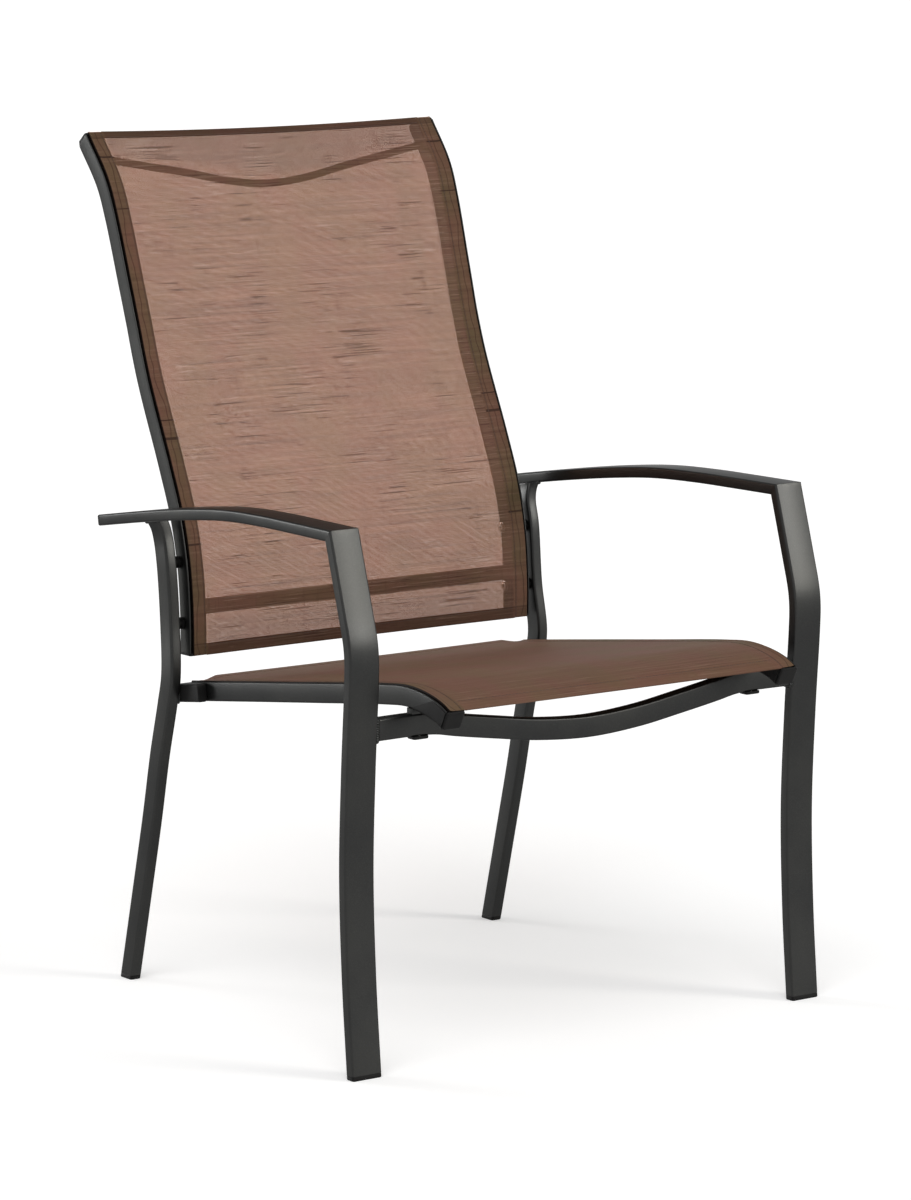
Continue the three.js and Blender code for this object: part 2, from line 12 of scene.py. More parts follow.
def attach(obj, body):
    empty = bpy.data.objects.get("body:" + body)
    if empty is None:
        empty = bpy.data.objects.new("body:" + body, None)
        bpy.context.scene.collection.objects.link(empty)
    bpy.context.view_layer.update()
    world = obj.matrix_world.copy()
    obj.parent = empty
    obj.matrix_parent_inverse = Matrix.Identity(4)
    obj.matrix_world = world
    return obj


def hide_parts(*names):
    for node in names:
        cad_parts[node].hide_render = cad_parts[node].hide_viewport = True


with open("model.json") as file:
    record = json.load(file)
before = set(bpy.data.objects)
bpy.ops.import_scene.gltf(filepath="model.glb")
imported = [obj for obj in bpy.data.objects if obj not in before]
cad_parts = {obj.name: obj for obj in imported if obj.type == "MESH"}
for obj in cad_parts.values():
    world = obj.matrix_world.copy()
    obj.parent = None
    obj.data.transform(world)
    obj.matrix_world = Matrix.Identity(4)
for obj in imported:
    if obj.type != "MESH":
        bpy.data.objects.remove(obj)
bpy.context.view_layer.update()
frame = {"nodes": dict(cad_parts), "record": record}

# Lengths are millimetres until a mesh is made. A place is [across, rear, up]:
# from the chair's middle, behind the front face of the front foot, and above the floor.
MM = 0.001
REAR_ORIGIN = 307.583

SLING_SPAN = 490
LEG_GAP = 46
ARM_HEIGHT = 600
LEG_WIDTH, LEG_THICKNESS, LEG_CORNER = 39, 13, 2.4
LEG_BOW, KNEE_HEIGHT, KNEE_SETBACK, LEG_LEAN = 13.8, 458, 2.4, 36.4
LEG_BOW_SHARES = [(0, 0), (0.68, 0.24), (1, 0.49), (0.68, 0.74), (0.23, 0.94), (0.17, 1)]
KNEE_SHARES = [(0.04, 0.125), (0.125, 0.23), (0.305, 0.39), (0.65, 0.695), (1, 1)]
ARM_REACH, ARM_DROP, ARM_TOE_IN = 493, 42, 20
ARM_SHARES = [
    (0, 0), (0.14, 0), (0.28, 0.01), (0.43, 0.077), (0.585, 0.263), (0.78, 0.585), (1, 1),
]
REAR_LEG_WIDTH, REAR_LEG_THICKNESS, REAR_LEG_CORNER = 24, 14.4, 3
REAR_LEG_GAP, REAR_LEG_SETBACK, REAR_LEG_SPREAD = 9.7, 5, 94.6
REAR_LEG_SPLAY, REAR_LEG_FLARE = 3.3, 20
WAIST_HEIGHT, WAIST_LEAD = 375, 1
FLARE_HEIGHT, FLARE_ARM_SHARE = 28, 0.585
REAR_LEG_SHARES = [
    (1, 0), (0.727, 0.267), (0.457, 0.533), (0.262, 0.747), (0.086, 0.907), (0, 1),
]
FLARE_SHARES = [(0, 0), (0.16, 0.43), (0.5, 0.75), (1, 1)]
RAIL_WIDTH, RAIL_DEPTH, RAIL_CORNER = 24, 22, 2.6
BACK_BOTTOM, BACK_HEIGHT, BACK_SETBACK, BACK_RECLINE = 400.5, 580.5, 458.7, 204
BACK_SPLAY, BACK_SPLAY_START = 5, 0.63
BACK_SHARES = [
    (0, 0), (0.001, 0.068), (0.026, 0.168), (0.095, 0.2674), (0.215, 0.3687),
    (0.4417, 0.5421), (0.599, 0.707), (0.734, 0.8525), (0.815, 0.9173), (1, 1),
]
SEAT_CREST, SEAT_FALL, SEAT_RUN, SEAT_OVERHANG = 412.9, 56.7, 498.5, 50.5
SEAT_SHARES = [
    (0, 0.275), (0.025, 0.17), (0.078, 0.05), (0.1434, 0), (0.2283, 0.069),
    (0.4822, 0.372), (0.7426, 0.686), (1, 1),
]
BAR_DEPTH, BAR_HEIGHT, BAR_CORNER = 16, 24.6, 2.4
FRONT_BAR_HEIGHT, FRONT_BAR_SETBACK, FRONT_BAR_BOW = 382.5, 3.4, 27.5
FRONT_BAR_SHARES = [
    (1, 0), (0.78, 0), (0.71, 0.06), (0.63, 0.22), (0.435, 0.55), (0.24, 0.845),
]
UPPER_BAR_DIAMETER, UPPER_BAR_BOW, UPPER_BAR_SHARE = 9, 37, 0.952
UPPER_BAR_SHARES = [(1, 0), (0.76, 0.265), (0.5, 0.55), (0.23, 0.88)]
LOWER_BAR_DIAMETER, LOWER_BAR_SHARE, LOWER_BAR_SETBACK = 18, 0.082, 2
BACK_BOLT_SHARES = (0.055, 0.17)
SEAT_BOLT_SHARE = 0.955
SEAM = 0.3
GLIDE_HEIGHT = 5
PLUG_PLATE = 3
BRACKET_LENGTH, BRACKET_HEIGHT = 36, 21.4
SADDLE_DEPTH = 10
BOLT_END_INSET, BOLT_AXIS_INSET, SPACER_DIAMETER = 4, 6, 14
RAIL_WALL, REAR_LEG_WALL = 1.8, 1.5

# The slings: their sag, the lift of the seat's free rear edge, what stands out past the rails'
# two ends, and the widths of the hems
BACK_SAG, SEAT_SAG, SEAT_LIP = 3, 0.6, 4.0
BACK_ENDS, BACK_HEMS = (2.8, 3.0), (13, 9)
SEAT_ENDS, SEAT_HEMS = (0.4, 2.0), (17, 15)
YARN_PITCH = 1.35

RAIL_OUT = (SLING_SPAN - RAIL_WIDTH) / 2
RAIL_INNER = SLING_SPAN / 2 - RAIL_WIDTH
RAIL_OUTER = SLING_SPAN / 2
POCKET_SEAM = RAIL_INNER + 3.4
MOUTH_OUTER, MOUTH_INNER = RAIL_WIDTH / 2 - 1.6, RAIL_WIDTH / 2 - 4.6
SLIT = MOUTH_INNER + 0.55
CLOTH_TURN = 1.6
TUCK = RAIL_OUT + SLIT - CLOTH_TURN + 0.5
LEG_INNER = RAIL_OUTER + LEG_GAP
LEG_OUT = LEG_INNER + LEG_WIDTH / 2
REAR_LEG_INNER = RAIL_OUTER + REAR_LEG_GAP
REAR_LEG_OUT = REAR_LEG_INNER + REAR_LEG_THICKNESS / 2
OUTWARD, REARWARD, UPWARD = np.eye(3)

# The photograph's viewpoint, in metres and degrees, and the studio
CAMERA_PLACE, CAMERA_DOWN, CAMERA_ROUND = (-3.2946, -4.5603, 1.3678), 9.18, 36.11
CAMERA_LENS = 147.5
WORLD_LIGHT, FLOOR_LIFT, FLOOR_REACH = 0.42, 0.36, 90
# Each lamp's azimuth from the front, elevation, strength, angle and colour
LAMPS = {
    "key": (37, 19, 1.4, 20, (1.0, 0.975, 0.92)),
    "overhead": (-48, 50, 1.15, 44, (1, 1, 1)),
    "rim": (-150, 4, 2.2, 22, (1, 1, 1)),
}


def linked(name, data):
    """A new object in the scene."""
    obj = bpy.data.objects.new(name, data)
    bpy.context.scene.collection.objects.link(obj)
    return obj


def make_camera():
    data = bpy.data.cameras.new("camera")
    camera = linked("camera", data)
    camera.location = CAMERA_PLACE
    camera.rotation_euler = (math.radians(90 - CAMERA_DOWN), 0, -math.radians(CAMERA_ROUND))
    data.lens, data.clip_start, data.clip_end = CAMERA_LENS, 0.05, 400
    bpy.context.scene.camera = camera


make_camera()


# Curves
def unit(v):
    return v / np.linalg.norm(v, axis=-1, keepdims=True)


class Path:
    """A smooth curve through points, sampled evenly along its length."""

    def __init__(self, points, count=96):
        points = np.array(points, float)
        dense = []
        last = len(points) - 2
        for i in range(last + 1):
            b, c = points[i], points[i + 1]
            a = points[i - 1] if i > 0 else 2 * b - c
            d = points[i + 2] if i < last else 2 * c - b
            k0, k1, k2 = (math.sqrt(np.linalg.norm(q - p)) for p, q in ((a, b), (b, c), (c, d)))
            m1 = ((b - a) / k0 - (c - a) / (k0 + k1) + (c - b) / k1) * k1
            m2 = ((c - b) / k1 - (d - b) / (k1 + k2) + (d - c) / k2) * k1
            t = np.linspace(0, 1, 41)[:, None]
            t = t if i == last else t[:-1]
            dense.append(
                b * (2 * t**3 - 3 * t**2 + 1) + c * (3 * t**2 - 2 * t**3)
                + m1 * (t**3 - 2 * t**2 + t) + m2 * (t**3 - t**2)
            )
        self.dense = np.vstack(dense)
        steps = np.linalg.norm(np.diff(self.dense, axis=0), axis=1)
        self.along = np.concatenate([[0], np.cumsum(steps)])
        self.length = self.along[-1]
        self.resample(np.linspace(0, 1, count))

    def resample(self, shares):
        self.points = np.array([self.at(s) for s in shares])
        self.tangents = np.array([self.heading(s) for s in shares])
        return self

    def at(self, share):
        where = share * self.length
        return np.array([np.interp(where, self.along, self.dense[:, i]) for i in range(3)])

    def heading(self, share):
        e = 0.002
        return unit(self.at(min(1, share + e)) - self.at(max(0, share - e)))

    def share_at_height(self, height):
        """The share of the length at which a rising curve reaches a height."""
        return np.interp(height, self.dense[:, 2], self.along) / self.length

    def extended(self, before=0, after=0):
        """The path with a straight run added before and after it."""
        longer = copy(self)
        points, tangents = list(self.points), list(self.tangents)
        if before:
            points.insert(0, points[0] - tangents[0] * before)
            tangents.insert(0, tangents[0])
        if after:
            points.append(points[-1] + tangents[-1] * after)
            tangents.append(tangents[-1])
        longer.points, longer.tangents = np.array(points), np.array(tangents)
        return longer


def in_side_view(places, across):
    return [(across, rear, up) for rear, up in places]


def front_of(heading):
    """The way to the front or upper side of a piece that runs in the side view."""
    return unit(np.array([0, -heading[2], heading[1]]))


def side_axes(heading):
    """Section axes of a piece that runs in the side view: outward, and its front or upper side."""
    return np.cross(heading, front_of(heading)), front_of(heading)


def cross_axes(heading):
    """Section axes of a bar that runs across: its front, and its upper side."""
    return -REARWARD, unit(np.cross(-REARWARD, heading))


def stretched(shares, rear, up, reach, rise):
    """Places in the side view, from shares of a reach rearward and of a rise."""
    return [(rear + a * reach, up + b * rise) for a, b in shares]


LEG_MIDDLE = LEG_THICKNESS / 2
KNEE_PLACE = (LEG_MIDDLE + KNEE_SETBACK, KNEE_HEIGHT)
LEG_PLACES = [
    *stretched(LEG_BOW_SHARES, LEG_MIDDLE, 0, LEG_BOW, KNEE_HEIGHT),
    *stretched(KNEE_SHARES, *KNEE_PLACE, LEG_LEAN, ARM_HEIGHT - LEG_MIDDLE - KNEE_HEIGHT),
]
ARM_CORNER = LEG_PLACES[-1]
ARM_PLACES = stretched(ARM_SHARES, *ARM_CORNER, ARM_REACH, -ARM_DROP)
BACK_PLACES = stretched(BACK_SHARES, BACK_SETBACK, BACK_BOTTOM, BACK_RECLINE, BACK_HEIGHT)
SEAT_PLACES = stretched(SEAT_SHARES, -SEAT_OVERHANG, SEAT_CREST, SEAT_RUN, -SEAT_FALL)

leg_path = Path(in_side_view(LEG_PLACES, LEG_OUT), 110)
arm_path = Path(in_side_view(ARM_PLACES, LEG_OUT), 90)
back_path = Path(in_side_view(BACK_PLACES, RAIL_OUT), 150)
seat_path = Path(in_side_view(SEAT_PLACES, RAIL_OUT), 130)


# Sections, as [first axis, second axis] points
def arc(x, y, radius, start, end, count):
    angles = np.radians(np.linspace(start, end, count + 1))
    return [(x + radius * math.cos(a), y + radius * math.sin(a)) for a in angles]


def rounded(width, height, corner, count=5):
    x, y = width / 2 - corner, height / 2 - corner
    return (
        arc(x, y, corner, 0, 90, count) + arc(-x, y, corner, 90, 180, count)
        + arc(-x, -y, corner, 180, 270, count) + arc(x, -y, corner, 270, 360, count)
    )


def circle(diameter, count=32):
    return arc(0, 0, diameter / 2, 0, 360, count)[:-1]


def shrunk(section, inset):
    """A section drawn in towards its middle."""
    section = np.array(section, float)
    centre = section.mean(axis=0)
    away = section - centre
    size = np.linalg.norm(away, axis=1, keepdims=True)
    return centre + away * np.maximum(0.2, (size - inset) / size)


# Meshes
def spread(points):
    """Widens what is near the top of the back, so that its rails spread outward."""
    start = BACK_BOTTOM + BACK_SPLAY_START * BACK_HEIGHT
    reach = BACK_BOTTOM + BACK_HEIGHT - start
    share = np.maximum(0, points[:, 2] - start) / reach
    points[:, 0] *= 1 + share * BACK_SPLAY / RAIL_OUT
    return points


def to_world(points):
    return (np.asarray(points, float) - np.array([0, REAR_ORIGIN, 0])) * MM


def skin(rings, spreads=True, looped=False):
    """A body round rings of points, closed at both ends or, if looped, onto itself."""
    count = len(rings[0])
    flat = np.vstack(rings)
    if spreads:
        flat = spread(flat)
    bm = bmesh.new()
    verts = [bm.verts.new(p) for p in to_world(flat)]
    for a in range(0, len(verts) if looped else len(verts) - count, count):
        b = (a + count) % len(verts)
        for i in range(count):
            j = (i + 1) % count
            bm.faces.new((verts[a + i], verts[a + j], verts[b + j], verts[b + i]))
    if not looped:
        bm.faces.new(verts[:count][::-1])
        bm.faces.new(verts[-count:])
    bmesh.ops.recalc_face_normals(bm, faces=bm.faces[:])
    return bm


def ring_at(point, heading, section, inset=0.0, axes=side_axes):
    """A section's outline about a point of a path."""
    first, second = axes(heading)
    shape = shrunk(section, inset)
    return point + shape[:, :1] * first + shape[:, 1:] * second


def sweep(path, section, axes=side_axes, ends=(0, 0), spreads=True):
    """A section carried along a path. Each end is softened by the radius given in ends."""
    points, tangents = path.points, path.tangents
    start, end = ends
    rings = []

    def ring(i, shift=0.0, inset=0.0):
        point = points[i] + tangents[i] * shift
        rings.append(ring_at(point, tangents[i], section, inset, axes))

    def soften(i, radius, degrees):
        for a in np.radians(degrees):
            ring(i, radius * (1 - math.cos(a)), abs(radius) * (1 - math.sin(a)))

    if start:
        soften(0, start, (0, 30, 60, 90))
    from_start = np.linalg.norm(points - points[0], axis=1)
    from_end = np.linalg.norm(points - points[-1], axis=1)
    for i in np.flatnonzero((from_start >= start * 1.05) & (from_end >= end * 1.05)):
        ring(i)
    if end:
        soften(-1, -end, (90, 60, 30, 0))
    return skin(rings, spreads)


def cut(bm, point, normal):
    """Takes away what lies beyond a plane and closes the opening."""
    point = Vector(to_world([point])[0])
    made = bmesh.ops.bisect_plane(
        bm, geom=bm.verts[:] + bm.edges[:] + bm.faces[:], plane_co=point,
        plane_no=Vector(normal), clear_outer=True, dist=1e-7,
    )
    edges = [e for e in made["geom_cut"] if isinstance(e, bmesh.types.BMEdge)]
    bmesh.ops.holes_fill(bm, edges=[e for e in edges if e.is_boundary], sides=0)
    return bm


def cut_outline(bm, normal):
    """The outline, in places, of the face that a cut has closed an opening with."""
    bm.normal_update()
    facing = [face for face in bm.faces if abs(face.normal.dot(Vector(normal))) > 0.999]
    closing = max(facing, key=lambda face: face.calc_area())
    return np.array([vert.co[:] for vert in closing.verts]) / MM + np.array([0, REAR_ORIGIN, 0])


def mesh_data(bm, name, material, sharp=38):
    bmesh.ops.recalc_face_normals(bm, faces=bm.faces[:])
    data = bpy.data.meshes.new(name)
    bm.to_mesh(data)
    bm.free()
    data.polygons.foreach_set("use_smooth", [True] * len(data.polygons))
    data.set_sharp_from_angle(angle=math.radians(sharp))
    data.materials.append(material)
    return data


def place_object(data, slot, *replaced):
    obj = linked(data.name, data)
    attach(obj, "root")
    if replaced:
        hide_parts(*replaced)
    return obj


def pair(bm, name, slot, *replaced, sharp=38):
    """The right-hand piece and its left-hand mirror image."""
    right = mesh_data(bm, f"{name}_right", FINISHES[slot], sharp)
    left = right.copy()
    left.name = f"{name}_left"
    left.transform(Matrix.Diagonal((-1, 1, 1, 1)))
    left.flip_normals()
    place_object(right, slot, *[f"{node}_right" for node in replaced])
    place_object(left, slot, *[f"{node}_left" for node in replaced])


# Materials
class Nodes:
    """A short way to write the node tree of a material or of the world."""

    def __init__(self, owner, output="OutputMaterial"):
        owner.use_nodes = True
        self.owner, self.tree = owner, owner.node_tree
        self.tree.nodes.clear()
        self.output = self.add(output)

    def add(self, kind, inputs=None, **settings):
        node = self.tree.nodes.new(f"ShaderNode{kind}")
        for key, value in settings.items():
            setattr(node, key, value)
        for key, value in (inputs or {}).items():
            self.feed(node, key, value)
        return node

    def feed(self, node, key, value):
        if isinstance(value, bpy.types.Node):
            value = value.outputs[0]
        if isinstance(value, bpy.types.NodeSocket):
            self.tree.links.new(value, node.inputs[key])
        else:
            node.inputs[key].default_value = value

    def math(self, operation, *values, clamp=False):
        node = self.add("Math", operation=operation, use_clamp=clamp)
        for i, value in enumerate(values):
            self.feed(node, i, value)
        return node.outputs[0]

    def times(self, *values):
        return reduce(lambda a, b: self.math("MULTIPLY", a, b), values)

    def most(self, *values):
        return reduce(lambda a, b: self.math("MAXIMUM", a, b), values)

    def less(self, value, taken):
        return self.math("SUBTRACT", value, taken)

    def mix(self, factor, first, second):
        """One colour laid over another by a factor."""
        first, second = ((*c, 1) if isinstance(c, tuple) else c for c in (first, second))
        inputs = {0: factor, 6: first, 7: second}
        return self.add("Mix", inputs, data_type="RGBA", clamp_factor=True).outputs[2]

    def ramp(self, value, low, high, bottom=0.0, top=1.0):
        names = ("Value", "From Min", "From Max", "To Min", "To Max")
        inputs = dict(zip(names, (value, low, high, bottom, top)))
        return self.add("MapRange", inputs).outputs["Result"]

    def place(self):
        return self.add("TexCoord").outputs["Object"]

    def noise(self, vector, scale, detail=2.0, roughness=0.6, kind="3D"):
        inputs = {"Vector": vector, "Scale": scale, "Detail": detail, "Roughness": roughness}
        return self.add("TexNoise", inputs, noise_dimensions=kind).outputs[0]

    def vector(self, operation, first, second):
        inputs = {0: first, 1: second}
        return self.add("VectorMath", inputs, operation=operation).outputs[0]

    def surface(self, colour, roughness, bump, **others):
        """A surface with a bump, given as its strength, its distance in metres and its height."""
        normal = self.add("Bump", dict(zip(("Strength", "Distance", "Height"), bump)))
        shader = self.add("BsdfPrincipled", {
            "Base Color": colour, "Roughness": roughness, "Normal": normal,
        })
        for key, value in others.items():
            self.feed(shader, key.replace("_", " "), value)
        return shader

    def done(self, shader):
        self.tree.links.new(shader.outputs[0], self.output.inputs["Surface"])
        return self.owner


def material_nodes(name):
    return Nodes(bpy.data.materials.new(name))


def powder_coat():
    n = material_nodes("powder_coat")
    place = n.place()
    cloud = n.noise(place, 9.0, 4.0)
    grain = n.noise(place, 900.0)
    peel = n.noise(place, 260.0, 3.0, 0.55)
    # Sharp edges are painted lighter: partly rubbed wear, partly a painted highlight where edges
    # catch the light
    edge = n.ramp(n.add("NewGeometry").outputs["Pointiness"], 0.52, 0.6)
    edge_wear_and_highlight = n.times(edge, n.ramp(n.noise(place, 55.0, 4.0, 0.7), 0.45, 0.75), 0.3)
    colour = n.mix(n.ramp(cloud, 0.35, 0.68), (0.0295, 0.0300, 0.0300), (0.0355, 0.0357, 0.0345))
    colour = n.mix(n.ramp(grain, 0.45, 0.85, 0.0, 0.20), colour, (0.085, 0.085, 0.080))
    colour = n.mix(edge_wear_and_highlight, colour, (0.12, 0.117, 0.108))
    return n.done(n.surface(
        colour, n.ramp(cloud, 0.3, 0.7, 0.31, 0.38), (0.3, 0.0001, peel),
        Metallic=0.85, IOR=1.35, Specular_Tint=(0.41, 0.41, 0.41, 1),
    ))


def moulded_plastic():
    n = material_nodes("moulded_plastic")
    place = n.place()
    cloud = n.noise(place, 40.0, 4.0)
    grain = n.noise(place, 1400.0)
    colour = n.mix(n.ramp(cloud, 0.35, 0.7), (0.0060, 0.0059, 0.0058), (0.0100, 0.0097, 0.0094))
    return n.done(n.surface(
        colour, n.ramp(grain, 0.3, 0.7, 0.50, 0.64), (0.4, 0.0001, grain), Specular_IOR_Level=0.10,
    ))


def zinc():
    n = material_nodes("zinc_plated_steel")
    place = n.place()
    cloud = n.noise(place, 220.0, 4.0)
    brushed = n.noise(n.vector("MULTIPLY", place, (300.0, 2500.0, 2500.0)), 1.0)
    colour = n.mix(n.ramp(cloud, 0.3, 0.7), (0.30, 0.30, 0.29), (0.46, 0.46, 0.45))
    return n.done(n.surface(
        colour, n.ramp(cloud, 0.3, 0.7, 0.28, 0.45), (0.3, 0.00008, brushed), Metallic=0.9,
    ))


def stitch_thread():
    n = material_nodes("thread")
    place = n.place()
    twist = n.noise(place, 2500.0)
    tone = n.noise(place, 60.0, 3.0)
    colour = n.mix(n.ramp(tone, 0.3, 0.7), (0.050, 0.028, 0.022), (0.078, 0.045, 0.035))
    return n.done(n.surface(colour, 0.7, (0.5, 0.0001, twist)))


# The colour of painted shade in the cloth's creases and along its hems
PAINTED_SHADE_COLOUR = (0.026, 0.013, 0.009)


def weave(name, openness=0.0, through=0.0, painted_shade_factor=1.0, marked=1.0, hems=None):
    """Open mesh of coated yarn. Its UV map runs in millimetres across and along the cloth.

    openness is the clear share, and through the share that lets light pass in the yarn's colour.
    hems are the inner edges of the two hems.
    """
    n = material_nodes(name)
    uv = n.add("UVMap", uv_map="cloth").outputs[0]
    u, v = n.add("SeparateXYZ", {0: uv}).outputs[:2]

    def yarn(where):
        """From 0 in the middle of a yarn to 1 between two yarns, and the yarn's round height."""
        away = n.times(n.math("PINGPONG", where, YARN_PITCH / 2), 2 / YARN_PITCH)
        return away, n.math("SQRT", n.math("SUBTRACT", 1.0, n.times(away, away), clamp=True))

    def streak(across, along, low, high, detail=2.0, top=1.0, shift=0.0):
        """A yarn-wise mark: noise drawn out by its scales per millimetre, cut at a threshold."""
        place = n.vector("MULTIPLY", uv, (across, along, 1.0))
        if shift:
            place = n.vector("ADD", place, (shift, shift * 1.7, 0))
        return n.ramp(n.noise(place, 1.0, detail, kind="2D"), low, high, 0.0, top)

    def part_of(amount, bottom, top):
        """From a first value where the amount is 0 to a second where it is 1."""
        return n.math("MULTIPLY_ADD", amount, top - bottom, bottom)

    # Colours scaled by the painted shade factor, which darkens the seat's and the hems' copies of
    # the cloth
    def with_painted_shade(*colour):
        return tuple(channel * painted_shade_factor for channel in colour)

    warp, warp_round = yarn(u)
    weft, weft_round = yarn(v)
    over = n.times(*(n.math("SINE", n.times(where, math.pi / YARN_PITCH)) for where in (u, v)))
    height = n.most(n.math("MULTIPLY_ADD", over, 0.35, n.times(warp_round, 0.65)),
                    n.math("MULTIPLY_ADD", over, -0.35, n.times(weft_round, 0.65)))
    side = n.math("ABSOLUTE", u)
    over_rail = n.ramp(side, RAIL_INNER - 1.5, RAIL_INNER + 0.5)
    open_cloth = n.less(1.0, over_rail)

    # Broad patches of tone, wandering thick and thin yarns, and short slubs both dark and light
    patch = streak(0.013, 0.011, 0.38, 0.62, 3.0)
    olive = streak(0.017, 0.006, 0.44, 0.66, 2.0, shift=31)
    long_dark = streak(0.0055, 0.27, 0.53, 0.68, 3.0)
    long_light = streak(0.0070, 0.23, 0.55, 0.72, 3.0, shift=17)
    busy = n.times(streak(0.020, 0.016, 0.46, 0.58, 3.0, marked, 57), part_of(over_rail, 1.0, 0.15))
    dash_dark = n.times(streak(0.010, 0.60, 0.640, 0.700, 1.0, shift=5), busy)
    dash_light = n.times(streak(0.013, 0.50, 0.665, 0.72, 1.0, shift=23), busy)
    dots = n.times(streak(0.30, 0.42, 0.73, 0.77, 1.0, shift=71), busy)
    hair_dark = n.times(streak(0.0042, 0.62, 0.60, 0.68, 1.0, marked, 83), open_cloth)
    hair_light = n.times(streak(0.0055, 0.52, 0.62, 0.70, 1.0, marked, 61), open_cloth)
    upright = n.times(streak(0.34, 0.011, 0.675, 0.705, 1.0, shift=43),
                      part_of(over_rail, 0.24 * marked, 0.0))
    marks = n.most(dash_dark, dots, upright)

    # Over the rails the cloth is creased across and along; these creases, notches and the pocket
    # seam are painted dark with shade
    wander = n.noise(n.vector("MULTIPLY", uv, (0.0, 0.013, 1.0)), 1.0, 2.0, 0.5, "2D")
    crease_at = n.math("MULTIPLY_ADD", wander, 22.0, RAIL_INNER + 0.5)
    crease = n.ramp(n.math("ABSOLUTE", n.less(side, crease_at)), 0.35, 1.0, 1.0, 0.0)
    notch = n.times(streak(0.0, 0.090, 0.700, 0.706, 1.0, shift=9), over_rail)
    seam = n.ramp(n.math("ABSOLUTE", n.less(side, POCKET_SEAM)), 0.3, 1.3, 1.0, 0.0)
    creases = n.most(n.times(crease, over_rail, 0.65), notch, n.times(seam, 0.5))

    base = n.mix(patch, with_painted_shade(0.150, 0.073, 0.050), with_painted_shade(0.138, 0.079, 0.047))
    for amount, colour in (
        (n.times(olive, over_rail, 0.8), with_painted_shade(0.105, 0.078, 0.040)),
        (n.times(long_light, 0.30 * marked), with_painted_shade(0.235, 0.140, 0.098)),
        (n.times(long_dark, 0.34 * marked), with_painted_shade(0.078, 0.038, 0.025)),
        (n.times(hair_light, 0.45), (0.27, 0.165, 0.118)),
        (n.times(hair_dark, 0.40), (0.055, 0.028, 0.019)),
        (n.times(dash_light, 0.6), (0.30, 0.19, 0.14)),
        (n.times(marks, 0.58), (0.030, 0.014, 0.010)),
        # Painted shade in the creases
        (n.times(creases, 0.8), PAINTED_SHADE_COLOUR),
    ):
        base = n.mix(amount, base, colour)
    blocked = n.most(marks, n.times(n.most(long_dark, hair_dark), 0.4))
    if hems:
        edges = [n.less(v, hem) for hem in hems]
        # Painted shade: darker where the hem doubles the cloth, with a dark line of painted shadow
        # along the hems' edges
        doubled = n.most(n.ramp(edges[0], -0.4, 0.4, 1.0, 0.0), n.ramp(edges[1], -0.4, 0.4))
        nearest = n.math("MINIMUM", *(n.math("ABSOLUTE", edge) for edge in edges))
        line = n.ramp(nearest, 0.4, 1.5, 1.0, 0.0)
        base = n.mix(n.most(n.times(doubled, 0.26), n.times(line, 0.55)), base, PAINTED_SHADE_COLOUR)
        # Past the cross bars behind it, towards its ends, the cloth is painted darker with shade
        # and lets less light through
        bar_at = n.math("MULTIPLY_ADD", side, UPPER_BAR_BOW / RAIL_INNER, -63.0)
        painted_shade_past_bars = n.times(n.most(n.ramp(edges[0], 22.0, 38.0, 1.0, 0.0),
                                n.ramp(n.less(edges[1], bar_at), -4.0, 8.0)), open_cloth)
        base = n.mix(n.times(painted_shade_past_bars, 0.34), base, (0.030, 0.016, 0.011))
        blocked = n.most(blocked, n.times(painted_shade_past_bars, 0.3))
    # Where the cloth turns down into the rail's slot it is painted near-black: painted shadow in
    # the slot
    base = n.mix(n.ramp(side, TUCK, TUCK + 0.7), base, (0.004, 0.0025, 0.002))
    # Between the yarns, where the weave sinks, the cloth is painted darker: painted shade in its
    # hollows
    base = n.mix(n.ramp(height, 0.1, 0.7, 0.36, 0.0), base, (0.04, 0.020, 0.013))

    gap_start = 1 - math.sqrt(max(openness, 1e-6))
    gap = n.times(*(n.math("GREATER_THAN", away, gap_start) for away in (warp, weft)),
                  part_of(marks, 1.0, 0.4))
    raised = n.math("MULTIPLY_ADD", dash_light, 0.7, height)
    relief = n.math("MULTIPLY_ADD", n.most(marks, creases), -0.9, raised)
    shader = n.surface(base, 0.66, (0.28, 0.0003, relief),
                       IOR=1.42, Specular_IOR_Level=0.12, Alpha=n.less(1.0, gap))
    if through > 0:
        tint = n.mix(blocked, (0.95, 0.42, 0.24), (0.10, 0.035, 0.02))
        tint = n.mix(dash_light, tint, (1.0, 0.66, 0.50))
        tinted = n.add("BsdfTransparent", {"Color": tint})
        shader = n.add("MixShader", {0: through, 1: shader, 2: tinted})
    return n.done(shader)


FINISHES = {"frame_metal": powder_coat(), "dark_plastic": moulded_plastic(), "bolt_steel": zinc()}
BACK_CLOTH = weave("back_cloth", 0.085, 0.15, hems=(
    BACK_HEMS[0] - BACK_ENDS[0], back_path.length + BACK_ENDS[1] - BACK_HEMS[1],
))
# The seat's and the hems' cloth are darker copies of the back's weave: painted shade
SEAT_CLOTH = weave("seat_cloth", painted_shade_factor=0.94, marked=0.4)
HEM_CLOTH = weave("hem_cloth", painted_shade_factor=0.66, marked=0.4)
THREAD = stitch_thread()

# Front legs and armrests, mitred together
MITRE = np.array([LEG_OUT, *ARM_CORNER])
mitre_normal = unit(unit(np.array([0, LEG_LEAN, ARM_CORNER[1] - KNEE_HEIGHT])) + REARWARD)
TURN = math.asin(ARM_TOE_IN / ARM_REACH)
leg_section = rounded(LEG_WIDTH, LEG_THICKNESS, LEG_CORNER)
rear_leg_section = rounded(REAR_LEG_THICKNESS, REAR_LEG_WIDTH, REAR_LEG_CORNER)


